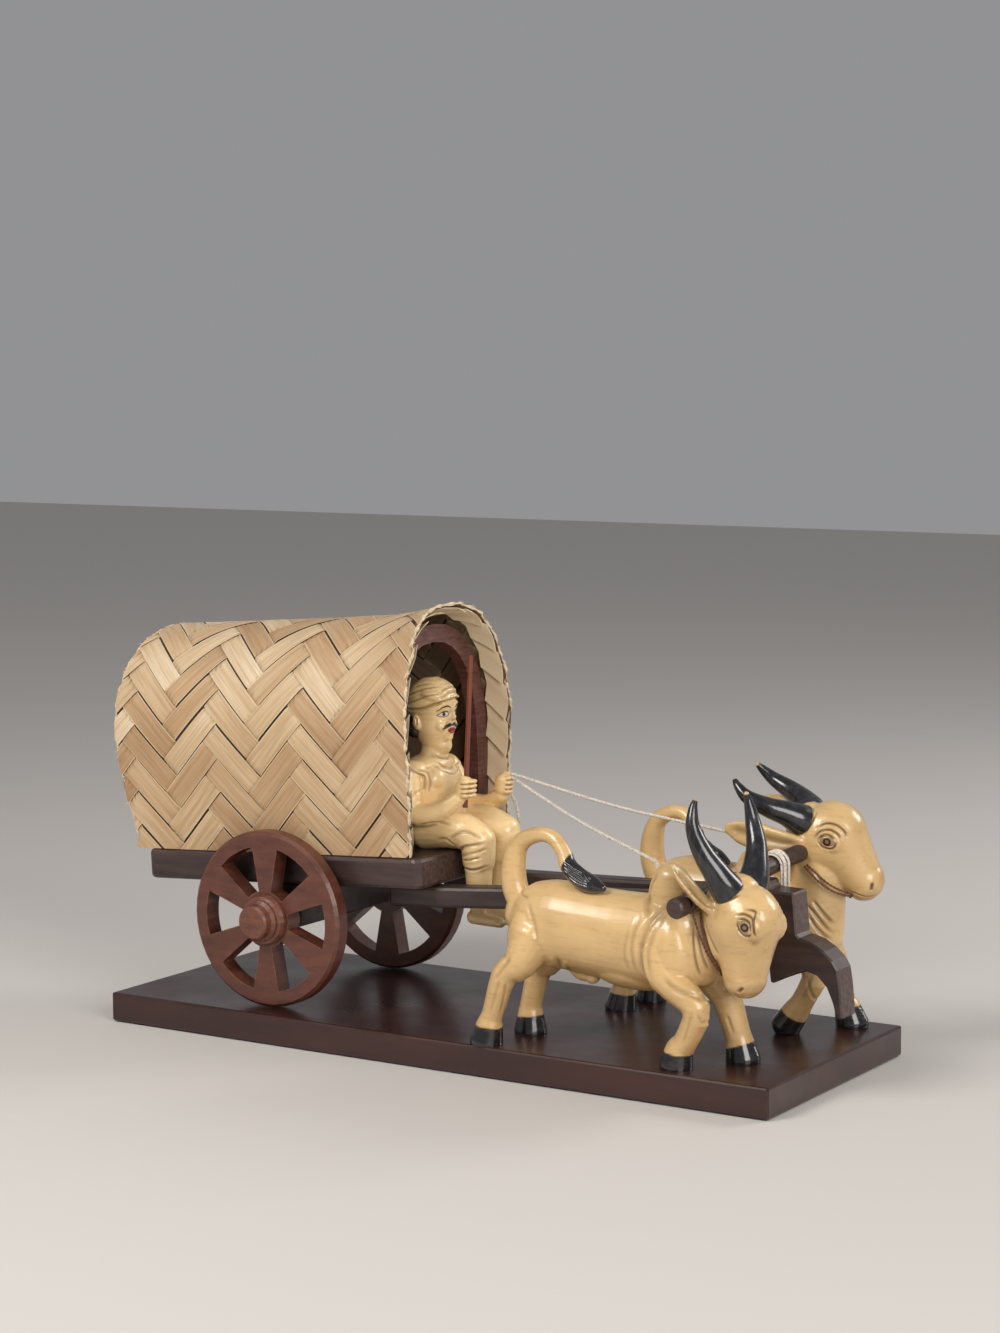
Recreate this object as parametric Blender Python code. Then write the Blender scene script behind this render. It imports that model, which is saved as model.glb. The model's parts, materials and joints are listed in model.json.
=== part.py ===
"""A carved wooden model of a covered bullock cart, standing on its base board.

+X points forward along the cart, +Y to its left side and +Z up. The origin is the centre
of the board's underside, and every size is in metres. "near" names the right side, at -Y,
and "far" the left side.
"""
import math

import bmesh
import bpy
from mathutils import Matrix, Vector
from mathutils.bvhtree import BVHTree

# Fits
SEAT = 0.0003
RUNNING = 0.0004

# Base board
BOARD_LENGTH = 0.406
BOARD_WIDTH = 0.1538
BOARD_THICKNESS = 0.0159
BOARD_EASED_EDGE = 0.0012

# Wheels, each sawn from one plate, with a turned hub on its outer face
WHEEL_RADIUS = 0.0479
WHEEL_THICKNESS = 0.0105
WHEEL_TRACK = 0.1155
WHEEL_TREAD_ROUND = 0.0016
RIM_DEPTH = 0.0084
SPOKE_COUNT = 6
SPOKE_WIDTH_AT_RIM = 0.0165
SPOKE_WIDTH_AT_HUB = 0.0078
WHEEL_CENTRE_RADIUS = 0.0155
HUB_RADIUS = 0.0140
HUB_LENGTH = 0.0118
AXLE_RADIUS = 0.0034
AXLE_X = -0.107
AXLE_REACH_IN_HUB = 0.0070
BOLSTER_WIDTH = 0.030
BOLSTER_DROP = 0.0065

# Bed and shafts, in the cart's own frame: u forward of the axle, w above it
BED_LENGTH = 0.183
BED_WHEEL_ROOM = 0.0045
BOLSTER_SHORTER = 0.004
BED_THICKNESS = 0.0164
BED_REAR = 0.0911
BED_HEIGHT = 0.0169
BED_WORN_EDGE = 0.0022
SHAFT_THICKNESS = 0.0112

# Yoke, lying across both necks
YOKE_RADIUS = 0.0046
YOKE_NEAR_REACH = 0.0665
YOKE_FAR_REACH = 0.0700
YOKE_KNOB_RADIUS = 0.0052
YOKE_BINDING_ROOM = 0.0075
YOKE_AHEAD = 0.2691
YOKE_HEIGHT = 0.1066
YOKE_SLANT = math.radians(6.4)
LASHING_RADIUS = 0.0019
LASHING_DROP = 0.0065
BINDING_TURNS = 3

# Hood
HOOD_THICKNESS = 0.0020
HOOD_FOOT_INSET = 0.0012
HOOD_BULGE = 0.0025
HOOD_SPRING = 0.092
HOOD_CROWN = 0.0660
HOOD_LEG_SHARE = 0.24
HOOD_PAST_REAR = 0.0049
HOOD_SHORT_OF_FRONT = 0.0054
HOOD_REAR_BELLY = 0.0135
HOOD_FRONT_BELLY = 0.0050
HOOD_TOOTH = 0.0026
HOOD_TEETH = 17
HOOD_LENGTHWISE = 7
HOOD_AROUND = 51
FRONT_ARCH_BACK = 0.0219
REAR_ARCH_AHEAD = 0.0031
ARCH_AROUND = 28
ARCH_WIDTH = 0.0105
ARCH_DEPTH = 0.0065
ARCH_CROWN_SHARE = 0.915

# Bullocks
NEAR_BULLOCK_Y = -0.051
FAR_BULLOCK_Y = 0.047
HORN_LENGTH = 0.044
BULLOCK_VOXEL = 0.0014
BULLOCK_TRIANGLES = 1500
DRIVER_BED_FRONT = 0.0919
DRIVER_BED_TOP = 0.0333
DRIVER_VOXEL = 0.0009
DRIVER_TRIANGLES = 1700
CORD_RADIUS = 0.0008
CORD_SINK = 0.008
REIN_RADIUS = 0.00075
STICK_RADIUS = 0.0014

BOARD_TOP = BOARD_THICKNESS
AXLE_Z = BOARD_TOP + RUNNING + WHEEL_RADIUS
WHEEL_INNER = (WHEEL_TRACK - WHEEL_THICKNESS) / 2
WHEEL_OUTER = (WHEEL_TRACK + WHEEL_THICKNESS) / 2
BED_WIDTH = 2 * (WHEEL_INNER - BED_WHEEL_ROOM)
BED_FRONT = BED_LENGTH - BED_REAR
BED_TOP = BED_HEIGHT + BED_THICKNESS
BOLSTER_LENGTH = BED_WIDTH - BOLSTER_SHORTER
SHAFT_TOP = BED_HEIGHT - SEAT
NOSE_TOP = SHAFT_TOP + 0.0012
SADDLE_TOP = NOSE_TOP + 0.0042
YOKE_OVER_AXLE = SADDLE_TOP + SEAT + YOKE_RADIUS

# The cart leans back on its axle until its nose carries the yoke at the yoke's height.
YOKE_ARM = math.hypot(YOKE_AHEAD, YOKE_OVER_AXLE)
PITCH = math.asin((YOKE_HEIGHT - AXLE_Z) / YOKE_ARM) - math.atan2(YOKE_OVER_AXLE, YOKE_AHEAD)
CART = Matrix.Translation((AXLE_X, 0, AXLE_Z)) @ Matrix.Rotation(-PITCH, 4, "Y")
YOKE_CENTRE = CART @ Vector((YOKE_AHEAD, 0, YOKE_OVER_AXLE))
SITTING = CART @ Matrix.Translation((BED_FRONT - DRIVER_BED_FRONT, 0, BED_TOP - DRIVER_BED_TOP))
YOKE_LINE = Vector((math.sin(YOKE_SLANT), 1, math.sin(YOKE_SLANT))).normalized()


def clear_scene():
    for old in list(bpy.data.objects):
        bpy.data.objects.remove(old, do_unlink=True)


def material(name, colour, roughness, metallic=0.0):
    made = bpy.data.materials.new(name)
    made.use_nodes = True
    shader = made.node_tree.nodes["Principled BSDF"]
    shader.inputs["Base Color"].default_value = (*colour, 1)
    shader.inputs["Roughness"].default_value = roughness
    shader.inputs["Metallic"].default_value = metallic
    return made


def add_object(name, mesh, finish, frame=Matrix.Identity(4), smooth_angle=40):
    """Put a mesh in the scene under its node's name."""
    piece = bpy.data.objects.new(name, mesh)
    bpy.context.collection.objects.link(piece)
    piece.matrix_world = frame
    mesh.materials.clear()
    mesh.materials.append(finish)
    mesh.shade_smooth()
    mesh.set_sharp_from_angle(angle=math.radians(smooth_angle))
    return piece


def finish_mesh(name, bm):
    bmesh.ops.recalc_face_normals(bm, faces=bm.faces)
    mesh = bpy.data.meshes.new(name)
    bm.to_mesh(mesh)
    bm.free()
    return mesh


def bevel(piece, width, segments=2, angle=35):
    eased = piece.modifiers.new("Eased edges", "BEVEL")
    eased.width = width
    eased.segments = segments
    eased.limit_method = "ANGLE"
    eased.angle_limit = math.radians(angle)
    eased.use_clamp_overlap = True
    return eased


def cut(piece, *cutters):
    for cutter in cutters:
        hole = piece.modifiers.new("Cut by " + cutter.name, "BOOLEAN")
        hole.operation = "DIFFERENCE"
        hole.solver = "EXACT"
        hole.object = cutter


def as_cutter(piece):
    piece.hide_render = True
    piece.display_type = "WIRE"
    return piece


def prism(name, outline, low, high, axis="Z"):
    """Extrude a closed outline, given as pairs, from low to high along an axis."""
    place = {
        "Z": lambda a, b, c: (a, b, c),
        "Y": lambda a, b, c: (a, c, b),
    }[axis]
    bm = bmesh.new()
    bottom = [bm.verts.new(place(a, b, low)) for a, b in outline]
    top = [bm.verts.new(place(a, b, high)) for a, b in outline]
    count = len(outline)
    bm.faces.new(bottom)
    bm.faces.new(top)
    for i in range(count):
        j = (i + 1) % count
        bm.faces.new((bottom[i], bottom[j], top[j], top[i]))
    return finish_mesh(name, bm)


def arc(centre, radius, start, end, steps):
    """Points on an arc from start to end degrees, both ends included."""
    points = []
    for i in range(steps + 1):
        angle = math.radians(start + (end - start) * i / steps)
        points.append((centre[0] + radius * math.cos(angle), centre[1] + radius * math.sin(angle)))
    return points


def lathe(name, profile, sides):
    """Turn a profile of (radius, distance along Y) about the Y axis. Radius 0 closes it."""
    bm = bmesh.new()
    rings = []
    for radius, along in profile:
        if radius == 0:
            rings.append([bm.verts.new((0, along, 0))])
            continue
        ring = []
        for i in range(sides):
            angle = 2 * math.pi * i / sides
            ring.append(bm.verts.new((radius * math.cos(angle), along, radius * math.sin(angle))))
        rings.append(ring)
    for k in range(len(rings) - 1):
        join_rings(bm, rings[k], rings[k + 1])
    if len(rings[0]) > 1 and len(rings[-1]) > 1:
        join_rings(bm, rings[-1], rings[0])
    return finish_mesh(name, bm)


def join_rings(bm, first, second):
    count = max(len(first), len(second))
    for i in range(count):
        j = (i + 1) % count
        corners = []
        for vert in (first[i % len(first)], first[j % len(first)],
                     second[j % len(second)], second[i % len(second)]):
            if vert not in corners:
                corners.append(vert)
        bm.faces.new(corners)


def loft(bm, stations, up=(0, 0, 1), sides=16, grow=0.0, round_ends=True):
    """Loft ellipses along a path, closed at both ends.

    A station is (place, half width, half height), with the height measured along up.
    """
    places = [Vector(place) for place, _, _ in stations]
    up = Vector(up)
    rings = []
    last = len(stations) - 1
    for k, (_, half_width, half_height) in enumerate(stations):
        tangent = (places[min(k + 1, last)] - places[max(k - 1, 0)]).normalized()
        across = up.cross(tangent).normalized()
        height = tangent.cross(across).normalized()
        if round_ends and k == 0:
            rings += cap(bm, places[k], -tangent, across, height,
                         half_width + grow, half_height + grow, sides)[::-1]
        ring = ellipse(bm, places[k], across, height, half_width + grow, half_height + grow, sides)
        rings.append(ring)
        if round_ends and k == last:
            rings += cap(bm, places[k], tangent, across, height,
                         half_width + grow, half_height + grow, sides)
    for k in range(len(rings) - 1):
        join_rings(bm, rings[k], rings[k + 1])
    for ring in (rings[0], rings[-1]):
        if len(ring) > 1:
            bm.faces.new(ring)


def ellipse(bm, centre, across, height, half_width, half_height, sides):
    ring = []
    for i in range(sides):
        angle = 2 * math.pi * i / sides
        offset = across * (half_width * math.cos(angle)) + height * (half_height * math.sin(angle))
        ring.append(bm.verts.new(centre + offset))
    return ring


def cap(bm, centre, outward, across, height, half_width, half_height, sides):
    """A rounded end: one smaller ring and a closing point."""
    reach = min(half_width, half_height) * 0.8
    shoulder = ellipse(bm, centre + outward * reach * 0.6, across, height,
                       half_width * 0.72, half_height * 0.72, sides)
    return [shoulder, [bm.verts.new(centre + outward * reach)]]


def carve(name, bm, finish, voxel, smoothing, triangles):
    """Weld the lofts in a mesh into one carved skin of about so many triangles."""
    mesh = finish_mesh(name, bm)
    piece = add_object(name, mesh, finish, smooth_angle=180)
    weld = piece.modifiers.new("Weld", "REMESH")
    weld.mode = "VOXEL"
    weld.voxel_size = voxel
    soften = piece.modifiers.new("Soften", "SMOOTH")
    soften.factor = 0.5
    soften.iterations = smoothing
    piece.modifiers.new("Triangles", "TRIANGULATE")
    made = evaluated_mesh(piece)
    thin = piece.modifiers.new("Thin", "DECIMATE")
    thin.ratio = min(1.0, triangles / len(made.polygons))
    bpy.data.meshes.remove(made)
    skin = evaluated_mesh(piece)
    skin.name = name
    for used in list(piece.modifiers):
        piece.modifiers.remove(used)
    old = piece.data
    piece.data = skin
    bpy.data.meshes.remove(old)
    skin.shade_smooth()
    return piece


def evaluated_mesh(piece):
    depsgraph = bpy.context.evaluated_depsgraph_get()
    depsgraph.update()
    return bpy.data.meshes.new_from_object(piece.evaluated_get(depsgraph))


def smooth_path(points, steps):
    """Catmull-Rom curve through a route's own points."""
    route = [Vector(p) for p in points]
    route = [2 * route[0] - route[1]] + route + [2 * route[-1] - route[-2]]
    out = []
    for k in range(1, len(route) - 2):
        p0, p1, p2, p3 = route[k - 1:k + 3]
        for i in range(steps):
            t = i / steps
            out.append(0.5 * (2 * p1 + (p2 - p0) * t + (2 * p0 - 5 * p1 + 4 * p2 - p3) * t ** 2
                              + (3 * p1 - p0 - 3 * p2 + p3) * t ** 3))
    out.append(route[-2])
    return out


def tube(name, points, radius, finish, closed=False):
    curve = bpy.data.curves.new(name, "CURVE")
    curve.dimensions = "3D"
    curve.bevel_depth = radius
    curve.bevel_resolution = 2
    curve.use_fill_caps = True
    spline = curve.splines.new("POLY")
    spline.points.add(len(points) - 1)
    for slot, place in zip(spline.points, points):
        slot.co = (*place, 1)
    spline.use_cyclic_u = closed
    curve.materials.append(finish)
    piece = bpy.data.objects.new(name, curve)
    bpy.context.collection.objects.link(piece)
    return piece


def tube_cutter(name, route, radius, finish, closed=False):
    """A tube as a mesh, a little longer than its cord, to cut its way through other pieces."""
    if not closed:
        first = route[0] + (route[0] - route[1]).normalized() * SEAT
        last = route[-1] + (route[-1] - route[-2]).normalized() * SEAT
        route = [first] + list(route[1:-1]) + [last]
    guide = tube(name + "_guide", route, radius + SEAT, finish, closed)
    mesh = evaluated_mesh(guide)
    bpy.data.objects.remove(guide, do_unlink=True)
    return as_cutter(add_object(name, mesh, finish))


def surface_tree(piece):
    """The piece's finished surface, to lay cords on."""
    depsgraph = bpy.context.evaluated_depsgraph_get()
    depsgraph.update()
    return BVHTree.FromObject(piece, depsgraph)


def lay_on(trees, points, clearance):
    """Draw a cord tight over the surfaces between its two ends, easing its bends."""
    laid = [Vector(point) for point in points]
    for _ in range(6):
        eased = list(laid)
        for k in range(1, len(laid) - 1):
            place = (laid[k - 1] + 2 * laid[k] + laid[k + 1]) / 4
            eased[k] = push_off(trees, place, clearance)
        laid = eased
    return laid


def push_off(trees, place, clearance):
    for _ in range(3):
        for tree in trees:
            nearest, normal, _, distance = tree.find_nearest(place)
            inside = (place - nearest).dot(normal) < 0
            if distance < clearance or (inside and distance < CORD_SINK):
                place = nearest + normal * clearance
    return place


def base_board(finish):
    half_length = BOARD_LENGTH / 2
    half_width = BOARD_WIDTH / 2
    outline = [(-half_length, -half_width), (half_length, -half_width),
               (half_length, half_width), (-half_length, half_width)]
    board = add_object("base_board", prism("base_board", outline, 0, BOARD_THICKNESS), finish)
    bevel(board, BOARD_EASED_EDGE)
    return board


def wheel(side, sign, plate_finish, hub_finish):
    """One wheel: a plate with wedge openings between its spokes, and its hub."""
    inner = -WHEEL_THICKNESS / 2
    outer = WHEEL_THICKNESS / 2
    bore = AXLE_RADIUS + RUNNING
    chamfer = WHEEL_TREAD_ROUND
    profile = [
        (bore, inner), (WHEEL_RADIUS - chamfer, inner), (WHEEL_RADIUS, inner + chamfer),
        (WHEEL_RADIUS, outer - chamfer), (WHEEL_RADIUS - chamfer, outer), (bore, outer),
    ]
    centre = Matrix.Translation((AXLE_X, sign * WHEEL_TRACK / 2, AXLE_Z))
    plate = add_object(side + "_wheel", lathe(side + "_wheel", profile, 48), plate_finish, centre)
    openings = add_object(side + "_wheel_openings", wheel_openings(), plate_finish, centre)
    cut(plate, as_cutter(openings))

    face = outer + SEAT
    hub_profile = [
        (bore, face), (HUB_RADIUS, face), (HUB_RADIUS, face + 0.0016), (HUB_RADIUS - 0.0010, face + 0.0034),
        (HUB_RADIUS - 0.0024, face + 0.0040), (HUB_RADIUS - 0.0026, face + 0.0058),
        (HUB_RADIUS - 0.0042, face + 0.0072), (HUB_RADIUS - 0.0048, face + HUB_LENGTH - 0.0010),
        (HUB_RADIUS - 0.0058, face + HUB_LENGTH), (0, face + HUB_LENGTH),
    ]
    blind = [(0, face + AXLE_REACH_IN_HUB + RUNNING), (bore, face + AXLE_REACH_IN_HUB + RUNNING)]
    hub_profile = blind + hub_profile
    turned = Matrix.Identity(4) if sign > 0 else Matrix.Rotation(math.pi, 4, "Z")
    add_object(side + "_wheel_hub", lathe(side + "_wheel_hub", hub_profile, 24), hub_finish,
               centre @ turned, smooth_angle=30)


def wheel_openings():
    """The six wedge openings of a wheel, as one cutter."""
    bm = bmesh.new()
    half_step = math.pi / SPOKE_COUNT
    rim_inner = WHEEL_RADIUS - RIM_DEPTH
    for k in range(SPOKE_COUNT):
        middle = math.pi / 2 + half_step * (2 * k + 1)
        outer_turn = half_step - math.asin(SPOKE_WIDTH_AT_RIM / 2 / rim_inner)
        inner_turn = half_step - math.asin(SPOKE_WIDTH_AT_HUB / 2 / WHEEL_CENTRE_RADIUS)
        outline = []
        for i in range(7):
            turn = middle - outer_turn + 2 * outer_turn * i / 6
            outline.append((rim_inner * math.cos(turn), rim_inner * math.sin(turn)))
        for i in range(4):
            turn = middle + inner_turn - 2 * inner_turn * i / 3
            outline.append((WHEEL_CENTRE_RADIUS * math.cos(turn), WHEEL_CENTRE_RADIUS * math.sin(turn)))
        low = [bm.verts.new((a, -WHEEL_THICKNESS, b)) for a, b in outline]
        high = [bm.verts.new((a, WHEEL_THICKNESS, b)) for a, b in outline]
        bm.faces.new(low)
        bm.faces.new(high)
        for i in range(len(outline)):
            j = (i + 1) % len(outline)
            bm.faces.new((low[i], low[j], high[j], high[i]))
    return finish_mesh("wheel_openings", bm)


def axle(finish):
    """A squared bolster under the bed whose turned ends carry the wheels."""
    half = BOLSTER_LENGTH / 2
    tip = WHEEL_OUTER + SEAT + AXLE_REACH_IN_HUB
    top = BED_HEIGHT - SEAT
    wide = BOLSTER_WIDTH / 2
    outline = [(-wide * 0.72, -BOLSTER_DROP), (wide * 0.72, -BOLSTER_DROP), (wide, top), (-wide, top)]
    block = add_object("axle_bolster", prism("axle_bolster", outline, -half, half, "Y"), finish, CART)
    bevel(block, 0.0008, 1)
    stub_profile = [(0, -tip), (AXLE_RADIUS, -tip), (AXLE_RADIUS, tip), (0, tip)]
    stub = add_object("axle_stub", lathe("axle_stub", stub_profile, 24), finish, CART)
    join = block.modifiers.new("Turned ends", "BOOLEAN")
    join.operation = "UNION"
    join.solver = "EXACT"
    join.object = as_cutter(stub)


def bed(finish):
    rear = -BED_REAR
    front = BED_FRONT
    half = BED_WIDTH / 2
    corner = 0.005
    outline = (arc((front - corner, half - corner), corner, 0, 90, 4)
               + arc((rear + corner, half - corner), corner, 90, 180, 4)
               + arc((rear + corner, -half + corner), corner, 180, 270, 4)
               + arc((front - corner, -half + corner), corner, 270, 360, 4))
    mesh = prism("bed", outline, BED_HEIGHT, BED_TOP)
    plank = add_object("bed", mesh, finish, CART)
    bevel(plank, BED_WORN_EDGE, 2)
    return plank


# Shaft centreline in the cart's frame
# u along the cart, distance from the middle, width
SHAFT_STATIONS = [
    (0.062, 0.0285, 0.0130),
    (0.093, 0.0285, 0.0130),
    (0.136, 0.0225, 0.0126),
    (0.166, 0.0190, 0.0120),
    (0.190, 0.0168, 0.0110),
    (0.222, 0.0143, 0.0100),
    (0.254, 0.0128, 0.0090),
]


def shaft(side, sign, finish):
    inner = [(u, sign * (away - width / 2)) for u, away, width in SHAFT_STATIONS]
    outer = [(u, sign * (away + width / 2)) for u, away, width in SHAFT_STATIONS]
    outline = inner + outer[::-1]
    mesh = prism(side + "_shaft", outline, SHAFT_TOP - SHAFT_THICKNESS, SHAFT_TOP)
    pole = add_object(side + "_shaft", mesh, finish, CART)
    bevel(pole, 0.0018, 2, 30)
    return pole


NOSE_HALF_THICKNESS = 0.0080
# Nose outline: ahead of the yoke, below the nose's top
NOSE_PROFILE = [
    (0.0212, 0.0006), (0.0231, 0.0212), (0.0245, 0.0228),
    (0.0320, 0.0248), (0.0381, 0.0283), (0.0430, 0.0325), (0.0459, 0.0371),
    (0.0473, 0.0450), (0.0488, 0.0616), (0.0455, 0.0620), (0.0433, 0.0540),
    (0.0399, 0.0464), (0.0343, 0.0409), (0.0288, 0.0395), (0.0229, 0.0417),
    (0.0165, 0.0445), (0.0098, 0.0478), (0.0087, 0.0469), (0.0070, 0.0340),
    (-0.0020, 0.0200), (-0.0180, 0.0130),
]


def nose(finish):
    """The sawn plank at the shafts' end: an S-shaped front and a hooked foot."""
    local = CART.inverted()

    def at(x, z):
        spot = local @ Vector((x, 0, z))
        return (spot.x, spot.z)

    front = YOKE_CENTRE.x
    top = (CART @ Vector((YOKE_AHEAD + 0.010, 0, NOSE_TOP))).z
    outline = [at(front + ahead, top - below) for ahead, below in NOSE_PROFILE]
    outline += [
        (YOKE_AHEAD - 0.040, SHAFT_TOP - SHAFT_THICKNESS), (YOKE_AHEAD - 0.040, NOSE_TOP),
        (YOKE_AHEAD - 0.0060, NOSE_TOP), (YOKE_AHEAD - 0.0045, SADDLE_TOP),
        (YOKE_AHEAD + 0.0045, SADDLE_TOP), (YOKE_AHEAD + 0.0060, NOSE_TOP),
    ]
    mesh = prism("nose", outline, -NOSE_HALF_THICKNESS, NOSE_HALF_THICKNESS, "Y")
    plank = add_object("nose", mesh, finish, CART)
    bevel(plank, 0.0008, 1, 50)
    return plank


def yoke_frame():
    """A frame at the yoke's middle with +Y along the yoke."""
    along = YOKE_LINE
    ahead = along.cross(Vector((0, 0, 1))).normalized()
    above = ahead.cross(along).normalized()
    return Matrix.Translation(YOKE_CENTRE) @ Matrix((ahead, along, above)).transposed().to_4x4()


def yoke(finish):
    """The turned bar with a knob at each end, and the room it takes in other pieces."""
    near = -YOKE_NEAR_REACH / YOKE_LINE.y
    far = YOKE_FAR_REACH / YOKE_LINE.y
    knob = YOKE_KNOB_RADIUS
    neck = YOKE_RADIUS - 0.0010
    profile = [
        (0, near - 0.0110), (knob - 0.0008, near - 0.0110), (knob, near - 0.0100),
        (knob, near - 0.0040), (knob - 0.0006, near - 0.0030), (neck, near - 0.0026),
        (neck, near), (YOKE_RADIUS, near + 0.0008),
        (YOKE_RADIUS, far - 0.0008), (neck, far), (neck, far + 0.0026),
        (knob - 0.0006, far + 0.0030), (knob, far + 0.0040), (knob, far + 0.0100),
        (knob - 0.0008, far + 0.0110), (0, far + 0.0110),
    ]
    bar = add_object("yoke", lathe("yoke", profile, 18), finish, yoke_frame())
    bound = YOKE_RADIUS + 2 * CORD_RADIUS + 2 * SEAT
    clear = [
        (0, near - 0.0110 - SEAT), (knob + SEAT, near - 0.0110 - SEAT), (knob + SEAT, near),
        (bound, near), (bound, near + YOKE_BINDING_ROOM),
        (YOKE_RADIUS + SEAT, near + YOKE_BINDING_ROOM), (YOKE_RADIUS + SEAT, far - YOKE_BINDING_ROOM),
        (bound, far - YOKE_BINDING_ROOM), (bound, far),
        (knob + SEAT, far), (knob + SEAT, far + 0.0110 + SEAT), (0, far + 0.0110 + SEAT),
    ]
    seat = add_object("yoke_seat", lathe("yoke_seat", clear, 18), finish, yoke_frame())
    return bar, as_cutter(seat)


def lashing(finish):
    """Cotton cord over the yoke and under the shafts' joint, as one bundled loop."""
    ring = YOKE_RADIUS + SEAT + LASHING_RADIUS
    reach = NOSE_HALF_THICKNESS + SEAT + LASHING_RADIUS
    drop = Vector((0, 0, YOKE_RADIUS + SHAFT_THICKNESS + LASHING_DROP + LASHING_RADIUS))
    frame = yoke_frame()
    route = []
    for sign in (-1, 1):
        over = []
        for step in range(10):
            angle = math.pi * (1 - step / 9)
            over.append(frame @ Vector((ring * math.cos(angle), sign * reach, ring * math.sin(angle))))
        run = [over[0] - drop] + over + [over[-1] - drop]
        route += run if sign < 0 else run[::-1]
    tube("yoke_lashing", route, LASHING_RADIUS, finish, closed=True)
    return tube_cutter("lashing_way", route, LASHING_RADIUS, finish, True)


# Hood sections
# share of the bed's length from its rear, share of the half width, share of the crown's height
# over the springing, squareness of the crown
HOOD_SECTIONS = [
    (-0.070, 0.970, 0.970, 2.05),
    (0.093, 0.980, 0.977, 2.10),
    (0.312, 0.990, 0.988, 2.15),
    (0.552, 1.000, 1.000, 2.20),
    (0.771, 1.006, 1.018, 2.25),
    (0.891, 1.014, 1.052, 2.35),
    (0.990, 1.040, 1.118, 2.45),
]


def hood_section(u):
    """Half width, crown and squareness at u, between the table's rows."""
    rows = HOOD_SECTIONS
    place = (u + BED_REAR) / BED_LENGTH
    for low, high in zip(rows, rows[1:]):
        if place <= high[0] or high is rows[-1]:
            share = (place - low[0]) / (high[0] - low[0])
            wide, tall, square = [a + (b - a) * share for a, b in zip(low[1:], high[1:])]
            return wide * (BED_WIDTH / 2 + HOOD_BULGE), tall * HOOD_CROWN, square


def hood_point(u, turn, inset):
    """A point of the hood: turn runs from 0 at the near foot to 1 at the far foot."""
    half, crown, square = hood_section(u)
    foot = BED_TOP + SEAT
    foot_half = BED_WIDTH / 2 - HOOD_FOOT_INSET
    if HOOD_LEG_SHARE <= turn <= 1 - HOOD_LEG_SHARE:
        angle = math.pi * (turn - HOOD_LEG_SHARE) / (1 - 2 * HOOD_LEG_SHARE)
        c, s = math.cos(angle), math.sin(angle)
        y = -math.copysign(abs(c) ** (2 / square), c) * (half - inset)
        w = HOOD_SPRING + abs(s) ** (2 / square) * (crown - inset)
        return y, w
    side = -1 if turn < 0.5 else 1
    share = min(turn, 1 - turn) / HOOD_LEG_SHARE
    y = foot_half + (half - foot_half) * math.sin(share * math.pi / 2)
    return side * (y - inset), foot + (HOOD_SPRING - foot) * share


def hood_ends(turn):
    """Where the hood starts and stops along u, with its strips' ragged ends."""
    low = min(turn, 1 - turn)
    belly = math.sin(math.pi * min(1, low / 0.5))
    tooth = HOOD_TOOTH * abs((turn * HOOD_TEETH) % 1 - 0.5) * 2
    rear = -BED_REAR - HOOD_PAST_REAR - HOOD_REAR_BELLY * belly + tooth
    front = BED_FRONT - HOOD_SHORT_OF_FRONT + HOOD_FRONT_BELLY * belly - tooth
    return rear, front


def hood(finish):
    lengthwise = HOOD_LENGTHWISE
    around = HOOD_AROUND
    bm = bmesh.new()
    skins = []
    for inset in (0.0, HOOD_THICKNESS):
        grid = []
        for i in range(lengthwise + 1):
            row = []
            for j in range(around + 1):
                turn = j / around
                rear, front = hood_ends(turn)
                u = rear + (front - rear) * i / lengthwise
                y, w = hood_point(u, turn, inset)
                row.append(bm.verts.new((u, y, w)))
            grid.append(row)
        skins.append(grid)
    outer, inner = skins
    for i in range(lengthwise):
        for j in range(around):
            for grid in skins:
                bm.faces.new((grid[i][j], grid[i + 1][j], grid[i + 1][j + 1], grid[i][j + 1]))
    for j in range(around):
        for i in (0, lengthwise):
            bm.faces.new((outer[i][j], outer[i][j + 1], inner[i][j + 1], inner[i][j]))
    for i in range(lengthwise):
        for j in (0, around):
            bm.faces.new((outer[i][j], outer[i + 1][j], inner[i + 1][j], inner[i][j]))
    return add_object("hood", finish_mesh("hood", bm), finish, CART, smooth_angle=30)


def hood_arch(name, u, finish):
    """A bent wooden bow inside the hood, its feet on the bed."""
    around = ARCH_AROUND
    bm = bmesh.new()
    gap = HOOD_THICKNESS + 2 * SEAT
    rings = []
    for j in range(around + 1):
        turn = j / around
        ring = []
        for along, inset in ((0, gap), (ARCH_DEPTH, gap), (ARCH_DEPTH, gap + ARCH_WIDTH), (0, gap + ARCH_WIDTH)):
            y, w = hood_point(u + ARCH_DEPTH / 2, turn, inset)
            w -= max(0, w - HOOD_SPRING) * (1 - ARCH_CROWN_SHARE)
            ring.append(bm.verts.new((u + along, y, w)))
        rings.append(ring)
    for j in range(around):
        join_rings(bm, rings[j], rings[j + 1])
    bm.faces.new(rings[0])
    bm.faces.new(rings[-1])
    return add_object(name, finish_mesh(name, bm), finish, CART)


# Bullock, in its own frame: x ahead of the yoke, y from its middle line, z above the board
# x, z, half width, half height
TORSO = [
    (-0.1080, 0.0675, 0.0080, 0.0115),
    (-0.1010, 0.0655, 0.0140, 0.0180),
    (-0.0880, 0.0628, 0.0172, 0.0223),
    (-0.0690, 0.0615, 0.0175, 0.0225),
    (-0.0460, 0.0600, 0.0180, 0.0230),
    (-0.0260, 0.0595, 0.0190, 0.0235),
    (-0.0120, 0.0605, 0.0175, 0.0215),
    (-0.0020, 0.0630, 0.0140, 0.0175),
]
# x, z, half width, half length, half height
HUMP = (-0.0195, 0.0845, 0.0095, 0.0110, 0.0150)
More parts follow.
